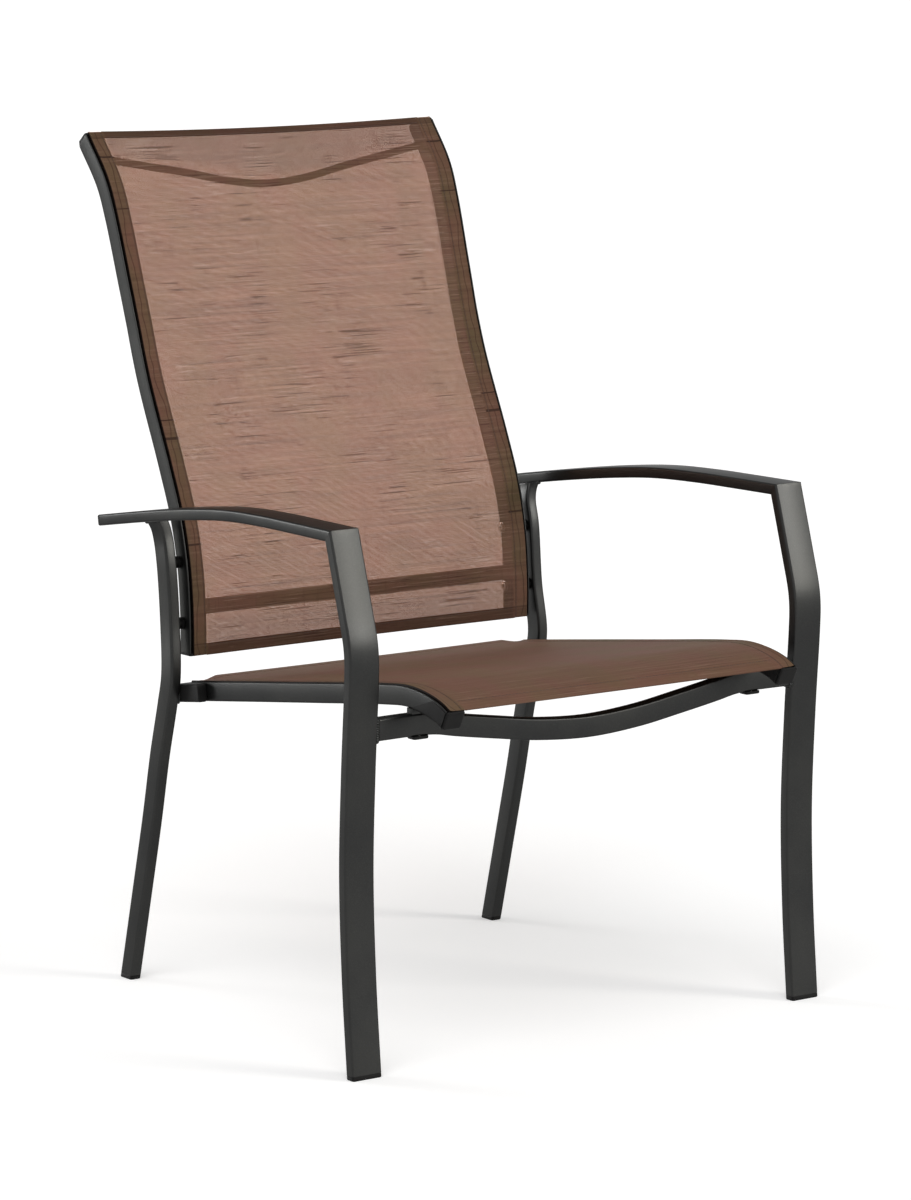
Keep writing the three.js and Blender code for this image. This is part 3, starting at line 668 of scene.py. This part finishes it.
def turn_in(bm):
    """Turns the armrest about the mitre so that it toes in."""
    turn = Matrix.Rotation(TURN, 3, "Z")
    bmesh.ops.rotate(bm, cent=to_world([MITRE])[0], matrix=turn, verts=bm.verts)
    return bm


def front_legs():
    bm = sweep(leg_path.extended(after=LEG_WIDTH), leg_section)
    cut(bm, MITRE - mitre_normal * SEAM / 2, mitre_normal)
    cut(bm, UPWARD * (GLIDE_HEIGHT + SEAM), -UPWARD)
    pair(bm, "front_leg_tube", "frame_metal", "front_leg")


def armrests():
    bm = turn_in(sweep(arm_path.extended(before=LEG_WIDTH), leg_section, ends=(0, 0.6)))
    cut(bm, MITRE + mitre_normal * SEAM / 2, -mitre_normal)
    pair(bm, "armrest_tube", "frame_metal", "armrest")


front_legs()
armrests()

# Rear legs
flare_top = ARM_HEIGHT - LEG_THICKNESS - ARM_DROP * FLARE_ARM_SHARE
flare_start = back_path.at(back_path.share_at_height(flare_top - FLARE_HEIGHT))


def rear_leg_points():
    waist = BACK_SETBACK - WAIST_LEAD
    places = stretched(REAR_LEG_SHARES, waist, 0, REAR_LEG_SPREAD, WAIST_HEIGHT)
    points = in_side_view(places, REAR_LEG_OUT + REAR_LEG_SPLAY)
    for share in BACK_BOLT_SHARES:
        _, rear, up = back_path.at(share)
        points.append((REAR_LEG_OUT, rear + REAR_LEG_SETBACK, up))
    for out, up in FLARE_SHARES:
        points.append((
            REAR_LEG_OUT + out * REAR_LEG_FLARE,
            flare_start[1] + REAR_LEG_SETBACK + up * REAR_LEG_SETBACK,
            flare_start[2] + up * (FLARE_HEIGHT + LEG_THICKNESS / 2),
        ))
    return points


rear_leg_path = Path(rear_leg_points(), 140)


def arm_underside(rear):
    """A place just below the armrest, behind the front foot's face, and the way up from it."""
    i = int(np.argmin(abs(arm_path.points[:, 1] - rear)))
    top = front_of(arm_path.tangents[i])
    return arm_path.points[i] - top * (LEG_THICKNESS / 2 + SEAM), top


def rear_legs():
    bm = sweep(rear_leg_path.extended(after=8), rear_leg_section)
    point, top = arm_underside(rear_leg_path.points[-1][1])
    cut(bm, point, top)
    joint = cut_outline(bm, top)
    cut(bm, UPWARD * (GLIDE_HEIGHT + SEAM), -UPWARD)
    pair(bm, "rear_leg_tube", "frame_metal", "rear_leg")
    return joint


rear_leg_joint = rear_legs()

# Side rails: a square tube whose face opens into a round groove by its outer edge
GROOVE_ACROSS, GROOVE_ALONG, GROOVE_RADIUS = RAIL_WIDTH / 2 - 5.5, RAIL_DEPTH / 2 - 6.2, 4.0


def rail_section():
    x, y, r = RAIL_WIDTH / 2, RAIL_DEPTH / 2, RAIL_CORNER
    lip, mouth = 0.9, 0.35

    def on_groove(across):
        return math.degrees(math.acos((across - GROOVE_ACROSS) / GROOVE_RADIUS))

    return [
        *arc(x - lip, y - lip, lip, 0, 90, 4),
        *arc(MOUTH_OUTER + mouth, y - mouth, mouth, 90, 180, 3),
        *arc(GROOVE_ACROSS, GROOVE_ALONG, GROOVE_RADIUS,
             on_groove(MOUTH_OUTER), on_groove(MOUTH_INNER) - 360, 18),
        *arc(MOUTH_INNER - 1.0, y - 1.0, 1.0, 0, 90, 4),
        *arc(-x + r, y - r, r, 90, 180, 5),
        *arc(-x + r, -y + r, r, 180, 270, 5),
        *arc(x - r, -y + r, r, 270, 360, 5),
    ]


def top_chamfer():
    """A plane that takes the rear corner off the top end of a back rail and its plug."""
    point, end = back_path.at(1), back_path.heading(1)
    rear = -front_of(end)
    on_rear = point + rear * RAIL_DEPTH / 2 - end * 6
    on_top = point + rear * 5.5 + end * (SEAM + PLUG_PLATE)
    return on_rear, -front_of(on_top - on_rear)


def rails():
    back = cut(sweep(back_path, rail_section()), *top_chamfer())
    pair(back, "back_rail_tube", "frame_metal", "back_rail")
    pair(sweep(seat_path, rail_section()), "seat_rail_tube", "frame_metal", "seat_rail")


rails()


# Cross bars
def bowed(half_span, rear, up, bow, shares, count=110):
    right = [(across * half_span, rear, up - drop * bow) for across, drop in shares]
    left = [(-x, y, z) for x, y, z in right]
    return Path(left + [(0, rear, up - bow)] + right[::-1], count)


def straight(half_span, rear, up):
    return Path([(-half_span, rear, up), (half_span, rear, up)], 12)


front_bar_rear = leg_path.at(leg_path.share_at_height(FRONT_BAR_HEIGHT))[1] + FRONT_BAR_SETBACK
seat_end, seat_end_heading = seat_path.at(1), seat_path.heading(1)
rear_bar_front = (
    seat_end[1] - seat_end_heading[2] * RAIL_DEPTH / 2 + seat_end_heading[1] * (SEAM + 3) + SEAM
)
bar_section = rounded(BAR_DEPTH, BAR_HEIGHT, BAR_CORNER)
# The rear bar's top is kept out of sight below the sling's rear edge
REAR_BAR_TRIM = 5
rear_bar_section = rounded(BAR_DEPTH, BAR_HEIGHT - REAR_BAR_TRIM, BAR_CORNER)
rear_bar_rear, rear_bar_up = rear_bar_front + BAR_DEPTH / 2, seat_end[2] - REAR_BAR_TRIM / 2
rear_bar_end = REAR_LEG_INNER + REAR_LEG_SPLAY
_, upper_bar_rear, upper_bar_up = back_path.at(UPPER_BAR_SHARE)
upper_spread = spread(np.array([[1.0, 0, upper_bar_up]]))[0, 0]
_, lower_bar_rear, lower_bar_up = back_path.at(LOWER_BAR_SHARE)
lower_bar_rear += LOWER_BAR_SETBACK


def cross_bars():
    for name, node, path, section in (
        ("front_bar_tube", "front_cross_bar",
         bowed(LEG_INNER - SEAM, front_bar_rear, FRONT_BAR_HEIGHT, FRONT_BAR_BOW, FRONT_BAR_SHARES),
         bar_section),
        ("rear_bar_tube", "rear_cross_bar",
         straight(rear_bar_end - SEAM, rear_bar_rear, rear_bar_up), rear_bar_section),
        ("upper_bar_rod", "upper_back_bar",
         bowed((RAIL_INNER - SEAM) * upper_spread, upper_bar_rear, upper_bar_up, UPPER_BAR_BOW,
               UPPER_BAR_SHARES), circle(UPPER_BAR_DIAMETER)),
        ("lower_bar_tube", "lower_back_bar",
         straight(RAIL_INNER - SEAM, lower_bar_rear, lower_bar_up), circle(LOWER_BAR_DIAMETER, 40)),
    ):
        bm = sweep(path, section, cross_axes, spreads=False)
        place_object(mesh_data(bm, name, FINISHES["frame_metal"]), "frame_metal", node)


cross_bars()

# Slings
CLOTH_LIFT = 0.7
DENT_WIDTH = 1.3
ROLL_RISE, ROLL_WIDTH = 1.2, 3.6
LIP_RUN, LIP_EASE = 75, 14
BOW_RUN = 60
HEM_OVERLAP = 1.4
SEAM_OFFSETS = (14.5, 12, 9.5, 7, 4.8, 3, 2, 1.2, 0.6, 0, -0.6, -1.2, -2, -3)
STITCH_LENGTH, STITCH_STEP, THREAD_RADIUS = 3.5, 4.6, 0.27
# A stitch at shares of half its length: its rise, and its share of the thread's radius
STITCH_SHAPE = [
    (-1, -0.42, 0.5), (-0.8, -0.06, 0.95), (-0.35, 0.1, 1), (0.35, 0.1, 1), (0.8, -0.06, 0.95),
    (1, -0.42, 0.5),
]


def near(distance, width):
    """1 at a line, falling to 0 beside it."""
    return np.exp(-((distance / width) ** 2))


class Cloth:
    """A stretched sling: places on it are [across, along, lift], along from the path's start."""

    def __init__(self, path, sag, ends, hems, bow=0.0, lip=0.0):
        self.path, self.sag, self.bow, self.lip = path, sag, bow, lip
        self.start, self.end = -ends[0], path.length + ends[1]
        self.hem_seams = [self.start + hems[0] - 1.2, self.end - hems[1] + 1.2]
        self.top = RAIL_DEPTH / 2 + CLOTH_LIFT

    def places(self, along):
        path = self.path
        inside = np.clip(along, 0, path.length)

        def at(where):
            where = np.clip(where, 0, path.length)
            return np.stack([np.interp(where, path.along, path.dense[:, i]) for i in (1, 2)])

        heading = at(inside + 1) - at(inside - 1)
        heading = heading / np.linalg.norm(heading, axis=0)
        return at(inside) + heading * (along - inside), heading

    def dents(self, across, along):
        """The thread pulls the cloth in, and the cloth puckers a little beside it."""
        between = np.clip((RAIL_INNER - 2 - abs(across)) / 6, 0, 1)
        depth = 0.28 * near(abs(across) - POCKET_SEAM, DENT_WIDTH)
        for seam in self.hem_seams:
            depth = depth + 0.45 * between * near(along - seam, DENT_WIDTH)
            ripple = np.sin(across * 0.71) + 0.6 * np.sin(across * 0.43 + 1.3)
            depth = depth + 0.10 * between * ripple * near(along - seam, 5)
        ripple = np.sin(along * 0.52) + 0.7 * np.sin(along * 0.31 + 2)
        return -depth - 0.09 * ripple * near(abs(across) - RAIL_INNER, 6)

    def point(self, across, along, lift=0.0):
        given = (np.asarray(v, float) for v in (across, along, lift))
        across, along, lift = np.broadcast_arrays(*given)
        middle = np.clip(1 - (across / RAIL_INNER) ** 2, 0, 1)
        near_end = np.clip((along - self.end + BOW_RUN) / BOW_RUN, 0, 1)
        lip = np.clip((along - self.end + LIP_RUN) / LIP_RUN, 0, 1) ** 2
        lip = lip * np.clip((RAIL_INNER - abs(across)) / LIP_EASE, 0, 1)
        roll = ROLL_RISE * near(RAIL_OUT + SLIT - abs(across), ROLL_WIDTH)
        height = self.top - self.sag * middle + lift + self.lip * lip + roll
        height = height + self.dents(across, along)
        place, heading = self.places(along - self.bow * middle * near_end**2)
        rear, up = place[0] - heading[1] * height, place[1] + heading[0] * height
        return spread(np.stack([across, rear, up], -1).reshape(-1, 3)).reshape(*across.shape, 3)


def sheet_object(name, points, us, vs, material, *replaced):
    """A sheet from rows of points, with a UV map in millimetres."""
    index = np.arange(points.shape[0] * points.shape[1]).reshape(points.shape[:2])
    faces = np.stack([index[:-1, :-1], index[1:, :-1], index[1:, 1:], index[:-1, 1:]], -1)
    data = bpy.data.meshes.new(name)
    data.from_pydata(to_world(points.reshape(-1, 3)).tolist(), [], faces.reshape(-1, 4).tolist())
    values = np.stack([us, vs], -1).reshape(-1, 2)[faces.reshape(-1)].astype(np.float32)
    data.uv_layers.new(name="cloth").data.foreach_set("uv", values.ravel())
    data.polygons.foreach_set("use_smooth", [True] * len(data.polygons))
    data.materials.append(material)
    return place_object(data, "sling_mesh", *replaced)


def cloth_object(name, cloth, material):
    """The cloth from slot to slot, and the width that it has when laid flat."""
    edge = RAIL_OUT + SLIT
    half = [(edge, 5.0), (edge, 3.2)]
    half += [(x, CLOTH_TURN - y) for x, y in arc(edge - CLOTH_TURN, 0, CLOTH_TURN, 0, 90, 5)]
    half += [(POCKET_SEAM + offset, 0) for offset in SEAM_OFFSETS]
    half += [(share * RAIL_INNER, 0) for share in np.linspace(0.998, 0, 72)]
    half = np.array(half)
    section = np.vstack([half * [-1, 1], half[-2::-1]])
    by_seams = np.add.outer(cloth.hem_seams, [-2.6, -1.6, -0.8, 0, 0.8, 1.6, 2.6])
    alongs = np.append(np.linspace(cloth.start, cloth.end, 170), by_seams)
    across, along = np.meshgrid(section[:, 0], np.unique(alongs.round(3)))
    points = cloth.point(across, along, -section[None, :, 1])
    steps = np.linalg.norm(np.diff(section, axis=0), axis=1)
    us = np.concatenate([[0], np.cumsum(steps)]) - steps.sum() / 2
    us = np.broadcast_to(us, across.shape)
    return sheet_object(f"{name}_cloth", points, us, along, material, name), float(steps.sum())


def hem_object(name, cloth, width, at_end):
    """The turned-over edge: a fold round the cloth's end and a second layer behind it."""
    fold = [(0, 0), (-0.45, -0.2), (-0.65, -0.65), (-0.45, -1.1), (0, -1.3)]
    back = [(inset, -1.3) for inset in np.linspace(1.5, width - 0.8, max(4, int(width / 2)))]
    inset, lift = np.array(fold + back + [(width, -1.1), (width + 0.15, -0.7)]).T
    across = np.linspace(-RAIL_INNER - HEM_OVERLAP, RAIL_INNER + HEM_OVERLAP, 156)
    # Beside the rails the second layer closes up to the first
    closed = np.clip((abs(across) - RAIL_INNER + 1) / (1 + HEM_OVERLAP), 0, 1)
    us, vs = np.meshgrid(across, cloth.end - inset if at_end else cloth.start + inset)
    points = cloth.point(us, vs, lift[:, None] * (1 - 0.5 * closed))
    turn = 1 if at_end else -1
    return sheet_object(name, points[::turn], us[::turn], vs[::turn], HEM_CLOTH)


def stitch_object(name, centres, directions, normals, sides=6):
    """Short thread loops, each from one needle hole to the next."""
    across = np.cross(directions, normals)
    rings = []
    for share, rise, wide in STITCH_SHAPE:
        middle = centres + directions * share * STITCH_LENGTH / 2 + normals * rise
        for a in np.arange(sides) * 2 * math.pi / sides:
            way = across * math.cos(a) + normals * math.sin(a) * 0.8
            rings.append(middle + way * wide * THREAD_RADIUS)
    verts = np.stack(rings, 1)
    count = len(rings)
    faces = [list(range(sides))[::-1], list(range(count - sides, count))]
    for start in range(0, count - sides, sides):
        for i in range(start, start + sides):
            j = start + (i + 1 - start) % sides
            faces.append([i, j, j + sides, i + sides])
    faces = [[i + n * count for i in face] for n in range(len(centres)) for face in faces]
    data = bpy.data.meshes.new(name)
    data.from_pydata(to_world(verts.reshape(-1, 3)).tolist(), [], faces)
    bm = bmesh.new()
    bm.from_mesh(data)
    bpy.data.meshes.remove(data)
    return place_object(mesh_data(bm, name, THREAD, 60), "sling_mesh")


def stitch_lines(cloth, lines):
    """Centres, directions and normals of the stitches on lines of [start, end, lift, side]."""
    found = []
    for start, end, lift, side in lines:
        start, end = np.array(start, float), np.array(end, float)
        length = np.linalg.norm(end - start)
        count = int(length / STITCH_STEP)
        t = (np.arange(count) + 0.5 + 0.06 * np.sin(np.arange(count) * 2.4)) / count
        flat = (start + (end - start) * t[:, None]).T
        step = (end - start) / length * 0.5
        here = cloth.point(*flat, lift)
        direction = unit(cloth.point(flat[0] + step[0], flat[1] + step[1], lift) - here)
        normal = cloth.point(*flat, lift + side * 0.5) - here
        normal -= direction * np.sum(normal * direction, 1, keepdims=True)
        found.append((here, direction, unit(normal)))
    return [np.vstack(values) for values in zip(*found)]


def sling(name, material, path, sag, ends, hems, **shape):
    cloth = Cloth(path, sag, ends, hems, **shape)
    obj, width = cloth_object(name, cloth, material)
    reach = RAIL_INNER - 1.5
    lines = [((-reach, seam), (reach, seam), lift, side)
             for seam in cloth.hem_seams for lift, side in ((0.22, 1), (-1.5, -1))]
    lines += [((across, cloth.start + 3), (across, cloth.end - 3), 0.22, 1)
              for across in (-POCKET_SEAM, POCKET_SEAM)]
    pieces = [
        hem_object(f"{name}_hem_start", cloth, hems[0], False),
        hem_object(f"{name}_hem_end", cloth, hems[1], True),
        stitch_object(f"{name}_stitches", *stitch_lines(cloth, lines)),
    ]


sling("back_sling", BACK_CLOTH, back_path, BACK_SAG, BACK_ENDS, BACK_HEMS, bow=2.0)
sling("seat_sling", SEAT_CLOTH, seat_path, SEAT_SAG, SEAT_ENDS, SEAT_HEMS, lip=SEAT_LIP)

# Plugs, shoes and glides. A plate's rings are [distance from the tube's end, inset]
PLATE_RINGS = [
    (0.3, 0.3), (0.55, 0.05), (2.2, 0.05), (2.8, 0.35), (3.15, 0.9), (3.3, 1.9), (3.35, 4.5),
]
GLIDE_RINGS = [(0, 1.1), (0.25, 0.5), (0.9, 0.05), (3.8, 0.05), (4.7, 0.1), (GLIDE_HEIGHT, 0.4)]
SHOE_THICKNESS, SHOE_CLEARANCE, SHOE_SHARES = 0.9, 0.05, (0.128, 0.045)


def end_plate(path, share, section):
    """The plate of a plug, over the end of a tube at a path's start or end."""
    point, heading = path.at(share), path.heading(share)
    outwards = heading * (2 * share - 1)
    return skin([
        ring_at(point + outwards * offset, heading, section, inset) for offset, inset in PLATE_RINGS
    ])


def plugs():
    section = rounded(RAIL_WIDTH, RAIL_DEPTH, RAIL_CORNER)
    for name, path, share in (
        ("back_rail_plug_bottom", back_path, 0), ("back_rail_plug_top", back_path, 1),
        ("seat_rail_plug_front", seat_path, 0), ("seat_rail_plug_rear", seat_path, 1),
    ):
        bm = end_plate(path, share, section)
        if name == "back_rail_plug_top":
            cut(bm, *top_chamfer())
        pair(bm, f"{name}_cap", "dark_plastic", name)
    bm = turn_in(end_plate(arm_path, 1, leg_section))
    pair(bm, "armrest_plug_cap", "dark_plastic", "armrest_plug")


def rail_shoe():
    """A moulded shoe that wraps the rolled front end of a seat rail below its sling; its dark
    plastic also paints the shade on that end.
    """
    out, clear = RAIL_WIDTH / 2 + SHOE_THICKNESS, RAIL_WIDTH / 2 + SHOE_CLEARANCE
    outer, inner = (
        rounded(RAIL_WIDTH + 2 * more, RAIL_DEPTH + 2 * more, RAIL_CORNER + more)
        for more in (SHOE_THICKNESS, SHOE_CLEARANCE)
    )
    half = len(outer) // 2
    top = RAIL_DEPTH / 2 - 1.2
    section = [
        (clear, top), (out, top - 0.3), *outer[half:][::-1], (-out, top - 0.3), (-clear, top),
        *inner[half:],
    ]
    bm = sweep(copy(seat_path).resample(np.linspace(0, 0.19, 34)), section, spreads=False)
    low, high = (
        seat_path.at(share) + front_of(seat_path.heading(share)) * side * RAIL_DEPTH / 2
        for share, side in zip(SHOE_SHARES, (-1, 1))
    )
    cut(bm, low, -front_of(high - low))
    pair(bm, "seat_rail_shoe", "dark_plastic")


def foot_glides():
    for name, path, section in (
        ("foot_glide_front", leg_path, leg_section),
        ("foot_glide_rear", rear_leg_path, rear_leg_section),
    ):
        heading = path.heading(0)
        rings = []
        for height, inset in GLIDE_RINGS:
            ring = ring_at(path.at(0), heading, section, inset)
            rings.append(ring + heading * ((height - ring[:, 2]) / heading[2])[:, None])
        pair(skin(rings), f"{name}_cap", "dark_plastic", name)


# Bolts and spacers
BOLT_SOCKET = 3.9
SADDLE_REAR = front_bar_rear - (BAR_DEPTH - SADDLE_DEPTH) / 2
SADDLE_BOLT = np.array([RAIL_OUT, SADDLE_REAR, FRONT_BAR_HEIGHT - BAR_HEIGHT / 2 - SEAM])


def turned(profile, origin, axis, segments=32):
    """A body turned about an axis, from [radius, distance]; a radius may depend on the angle."""
    side = np.cross(axis, REARWARD)
    other = np.cross(axis, side)
    angles = np.arange(segments) * 2 * math.pi / segments
    rings = []
    for radius, distance in profile:
        radii = np.array([radius(a) if callable(radius) else radius for a in angles])[:, None]
        around = np.cos(angles)[:, None] * side + np.sin(angles)[:, None] * other
        rings.append(origin + axis * distance + radii * around)
    return skin(rings)


def hexagon(angle):
    """The radius of the bolt's hexagon socket at an angle."""
    return BOLT_SOCKET / 2 / math.cos(angle % (math.pi / 3) - math.pi / 6)


def bolt(name, length, origin, axis=OUTWARD):
    profile = [
        (hexagon, -1.1), (hexagon, -2.95), (2.9, -3.05), (4.0, -2.85), (4.8, -2.35), (5.25, -1.6),
        (5.4, -0.9), (6.1, -0.7), (6.25, -0.45), (6.2, -0.05), (3.0, 0), (3.0, length - 0.6),
        (2.5, length),
    ]
    pair(turned(profile, origin, axis), f"{name}_head", "bolt_steel", name, sharp=32)


def rail_bolt_origin(path, share):
    inset = BOLT_AXIS_INSET - RAIL_DEPTH / 2
    origin = path.at(share) + front_of(path.heading(share)) * inset
    origin[0] = RAIL_INNER - SEAM
    return origin


def spacer_profile(start, end):
    rim = SPACER_DIAMETER / 2
    half = [(rim - 1.2, 0), (rim - 0.3, 0.1), (rim, 0.5), (rim, 2.0), (rim - 0.7, 2.7)]
    return [(radius, start + at) for radius, at in half] + [
        (radius, end - at) for radius, at in half[::-1]
    ]


def fasteners():
    reach = REAR_LEG_INNER + REAR_LEG_WALL + BOLT_END_INSET - RAIL_INNER
    for level, share in zip(("lower", "upper"), BACK_BOLT_SHARES):
        origin = rail_bolt_origin(back_path, share)
        bolt(f"back_bolt_{level}", reach, origin)
        profile = spacer_profile(RAIL_OUTER + SEAM - origin[0], REAR_LEG_INNER - SEAM - origin[0])
        pair(turned(profile, origin, OUTWARD, 40), f"back_spacer_{level}_ring", "dark_plastic",
             f"back_spacer_{level}")
    origin = rail_bolt_origin(seat_path, SEAT_BOLT_SHARE)
    bolt("seat_bolt_rear", RAIL_WIDTH + REAR_LEG_GAP - BOLT_END_INSET, origin)
    reach = SEAT_CREST - RAIL_DEPTH / 2 + RAIL_WALL + BOLT_END_INSET - SADDLE_BOLT[2]
    bolt("seat_bolt_front", reach, SADDLE_BOLT, UPWARD)


# Brackets, saddles and the pads under them
SADDLE_TOE, SADDLE_CORNER = 11, 1.6
SADDLE_RINGS = [(0, 0.4), (0.4, 0), (2.5, 0), (6.4, 0)]
PAD_WIDTH, PAD_DEPTH, PAD_CORNER = 21, 14, 3
PAD_RINGS = [(-0.1, 0.1), (-2.4, 0.1), (-3.1, 0.6), (-3.4, 1.6), (-3.5, 3.5)]


def level_rings(outline, across, up, rings):
    """Rings above the front bar's middle or below it, from their [rise, inset]."""
    for rise, inset in rings:
        x, y = shrunk(outline, inset).T
        yield np.column_stack([across + x, SADDLE_REAR + y, np.full(len(x), up + rise)])


def brackets():
    """Beside the seat rails, against the rear bar."""
    width = rear_bar_end - RAIL_OUTER - 2 * SEAM
    centre = seat_end - front_of(seat_end_heading) * (RAIL_DEPTH - BRACKET_HEIGHT) / 2
    centre[0] = RAIL_OUTER + SEAM + width / 2
    run = seat_end_heading * BRACKET_LENGTH
    bm = sweep(Path([centre - run, centre + run], 30), rounded(width, BRACKET_HEIGHT, 3),
               ends=(1.4, 0), spreads=False)
    cut(bm, np.array([0, rear_bar_front - SEAM, 0]), REARWARD)
    pair(bm, "seat_bracket_block", "dark_plastic", "seat_bracket")


def saddles():
    outline = rounded(RAIL_WIDTH + SADDLE_TOE, SADDLE_DEPTH, SADDLE_CORNER)
    bottom = FRONT_BAR_HEIGHT + BAR_HEIGHT / 2 + SEAM
    rings = list(level_rings(outline, RAIL_OUT - SADDLE_TOE / 2, bottom, SADDLE_RINGS))
    # The last ring follows the underside of the seat rail
    for point in rings[-1]:
        i = int(np.argmin(abs(seat_path.points[:, 1] - point[1])))
        up = front_of(seat_path.tangents[i])[2]
        point[2] = seat_path.points[i][2] - up * RAIL_DEPTH / 2 - SEAM
    pair(skin(rings), "seat_saddle_block", "frame_metal", "seat_saddle")
    outline = rounded(PAD_WIDTH, PAD_DEPTH, PAD_CORNER)
    rings = list(level_rings(outline, RAIL_OUT, SADDLE_BOLT[2] + SEAM, PAD_RINGS))
    pair(skin(rings), "bolt_pad_front", "dark_plastic")


# Weld beads
def bead(points, radius, sides=8):
    """A weld bead along a closed line of points."""
    loop = np.vstack([points, points[:1]])
    steps = np.linalg.norm(np.diff(loop, axis=0), axis=1)
    along = np.concatenate([[0], np.cumsum(steps)])
    where = np.linspace(0, along[-1], max(24, int(along[-1] / 0.55)) + 1)[:-1]
    line = np.stack([np.interp(where, along, loop[:, i]) for i in range(3)], 1)
    angles = np.arange(sides)[:, None] * 2 * math.pi / sides
    rings = []
    for i, here in enumerate(line):
        heading = unit(line[(i + 1) % len(line)] - line[i - 1])
        out = here - line.mean(axis=0)
        out = unit(out - heading * np.dot(out, heading))
        size = radius * (1 + 0.16 * math.sin(i * 1.35) + 0.05 * math.sin(i * 0.37))
        side = np.cross(heading, out)
        rings.append(here + size * (np.cos(angles) * out + np.sin(angles) * side))
    return skin(rings, spreads=False, looped=True)


def bar_end(across, rear, up, section):
    """A bar's section outline in the plane of its end."""
    return [(across, rear - a, up + b) for a, b in section]


def welds():
    # This bead follows the part of the leg's top that lies under the armrest
    joint = rear_leg_joint.copy()
    arm_edge = LEG_INNER - (joint[:, 1].mean() - ARM_CORNER[0]) * math.tan(TURN)
    joint[:, 0] = np.maximum(joint[:, 0], arm_edge)
    pair(bead(joint, 2.0), "rear_leg_weld", "frame_metal")
    rail_face = RAIL_INNER - 0.4
    for name, radius, *end in (
        ("front_bar", 2.6, LEG_INNER - 0.5, front_bar_rear, FRONT_BAR_HEIGHT, bar_section),
        ("rear_bar", 1.7, rear_bar_end - 0.5, rear_bar_rear, rear_bar_up, rear_bar_section),
        ("lower_bar", 1.3, rail_face, lower_bar_rear, lower_bar_up, circle(LOWER_BAR_DIAMETER, 40)),
        ("upper_bar", 1.1, rail_face * upper_spread, upper_bar_rear, upper_bar_up,
         circle(UPPER_BAR_DIAMETER, 24)),
    ):
        pair(bead(bar_end(*end), radius), f"{name}_weld", "frame_metal")


plugs()
rail_shoe()
foot_glides()
fasteners()
brackets()
saddles()
welds()

# CAD pieces whose shape is right keep it and take a detailed finish
for part in frame["record"]["subparts"]:
    node = frame["nodes"][part["node"]]
    if not node.hide_render:
        node.data.materials.clear()
        node.data.materials.append(FINISHES[part["material_slot"]])


# Floor, backdrop and lamps
def in_sight(n):
    """1 for the camera's, mirrored and transmitted rays, and 0 for the light on the object."""
    rays = n.add("LightPath").outputs
    return n.most(*(rays[f"Is {kind} Ray"] for kind in ("Camera", "Glossy", "Transmission")))


def studio():
    scene = bpy.context.scene
    n = material_nodes("floor")
    tone = n.mix(n.noise(n.place(), 30.0, 4.0), (0.80, 0.80, 0.80), (0.82, 0.82, 0.82))
    matte = n.add("BsdfDiffuse", {"Color": tone})
    lift = n.add("Emission", {"Strength": n.times(in_sight(n), FLOOR_LIFT)})
    data = bpy.data.meshes.new("floor")
    r = FLOOR_REACH
    data.from_pydata([(-r, -r, 0), (r, -r, 0), (r, r, 0), (-r, r, 0)], [], [(0, 1, 2, 3)])
    data.materials.append(n.done(n.add("AddShader", {0: matte, 1: lift})))
    linked("floor", data)

    scene.world = bpy.data.worlds.new("studio")
    n = Nodes(scene.world, "OutputWorld")
    strength = n.ramp(in_sight(n), 0.0, 1.0, WORLD_LIGHT, 1.0)
    n.done(n.add("Background", {"Color": (1, 1, 1, 1), "Strength": strength}))

    for name, (azimuth, elevation, strength, angle, colour) in LAMPS.items():
        data = bpy.data.lights.new(name, "SUN")
        data.energy, data.color, data.angle = strength, colour, math.radians(angle)
        lamp = linked(name, data)
        a, e = math.radians(azimuth), math.radians(elevation)
        towards = Vector((math.sin(a) * math.cos(e), -math.cos(a) * math.cos(e), math.sin(e)))
        lamp.rotation_mode = "QUATERNION"
        lamp.rotation_quaternion = towards.to_track_quat("Z", "Y")
    scene.view_settings.view_transform = "Standard"


studio()
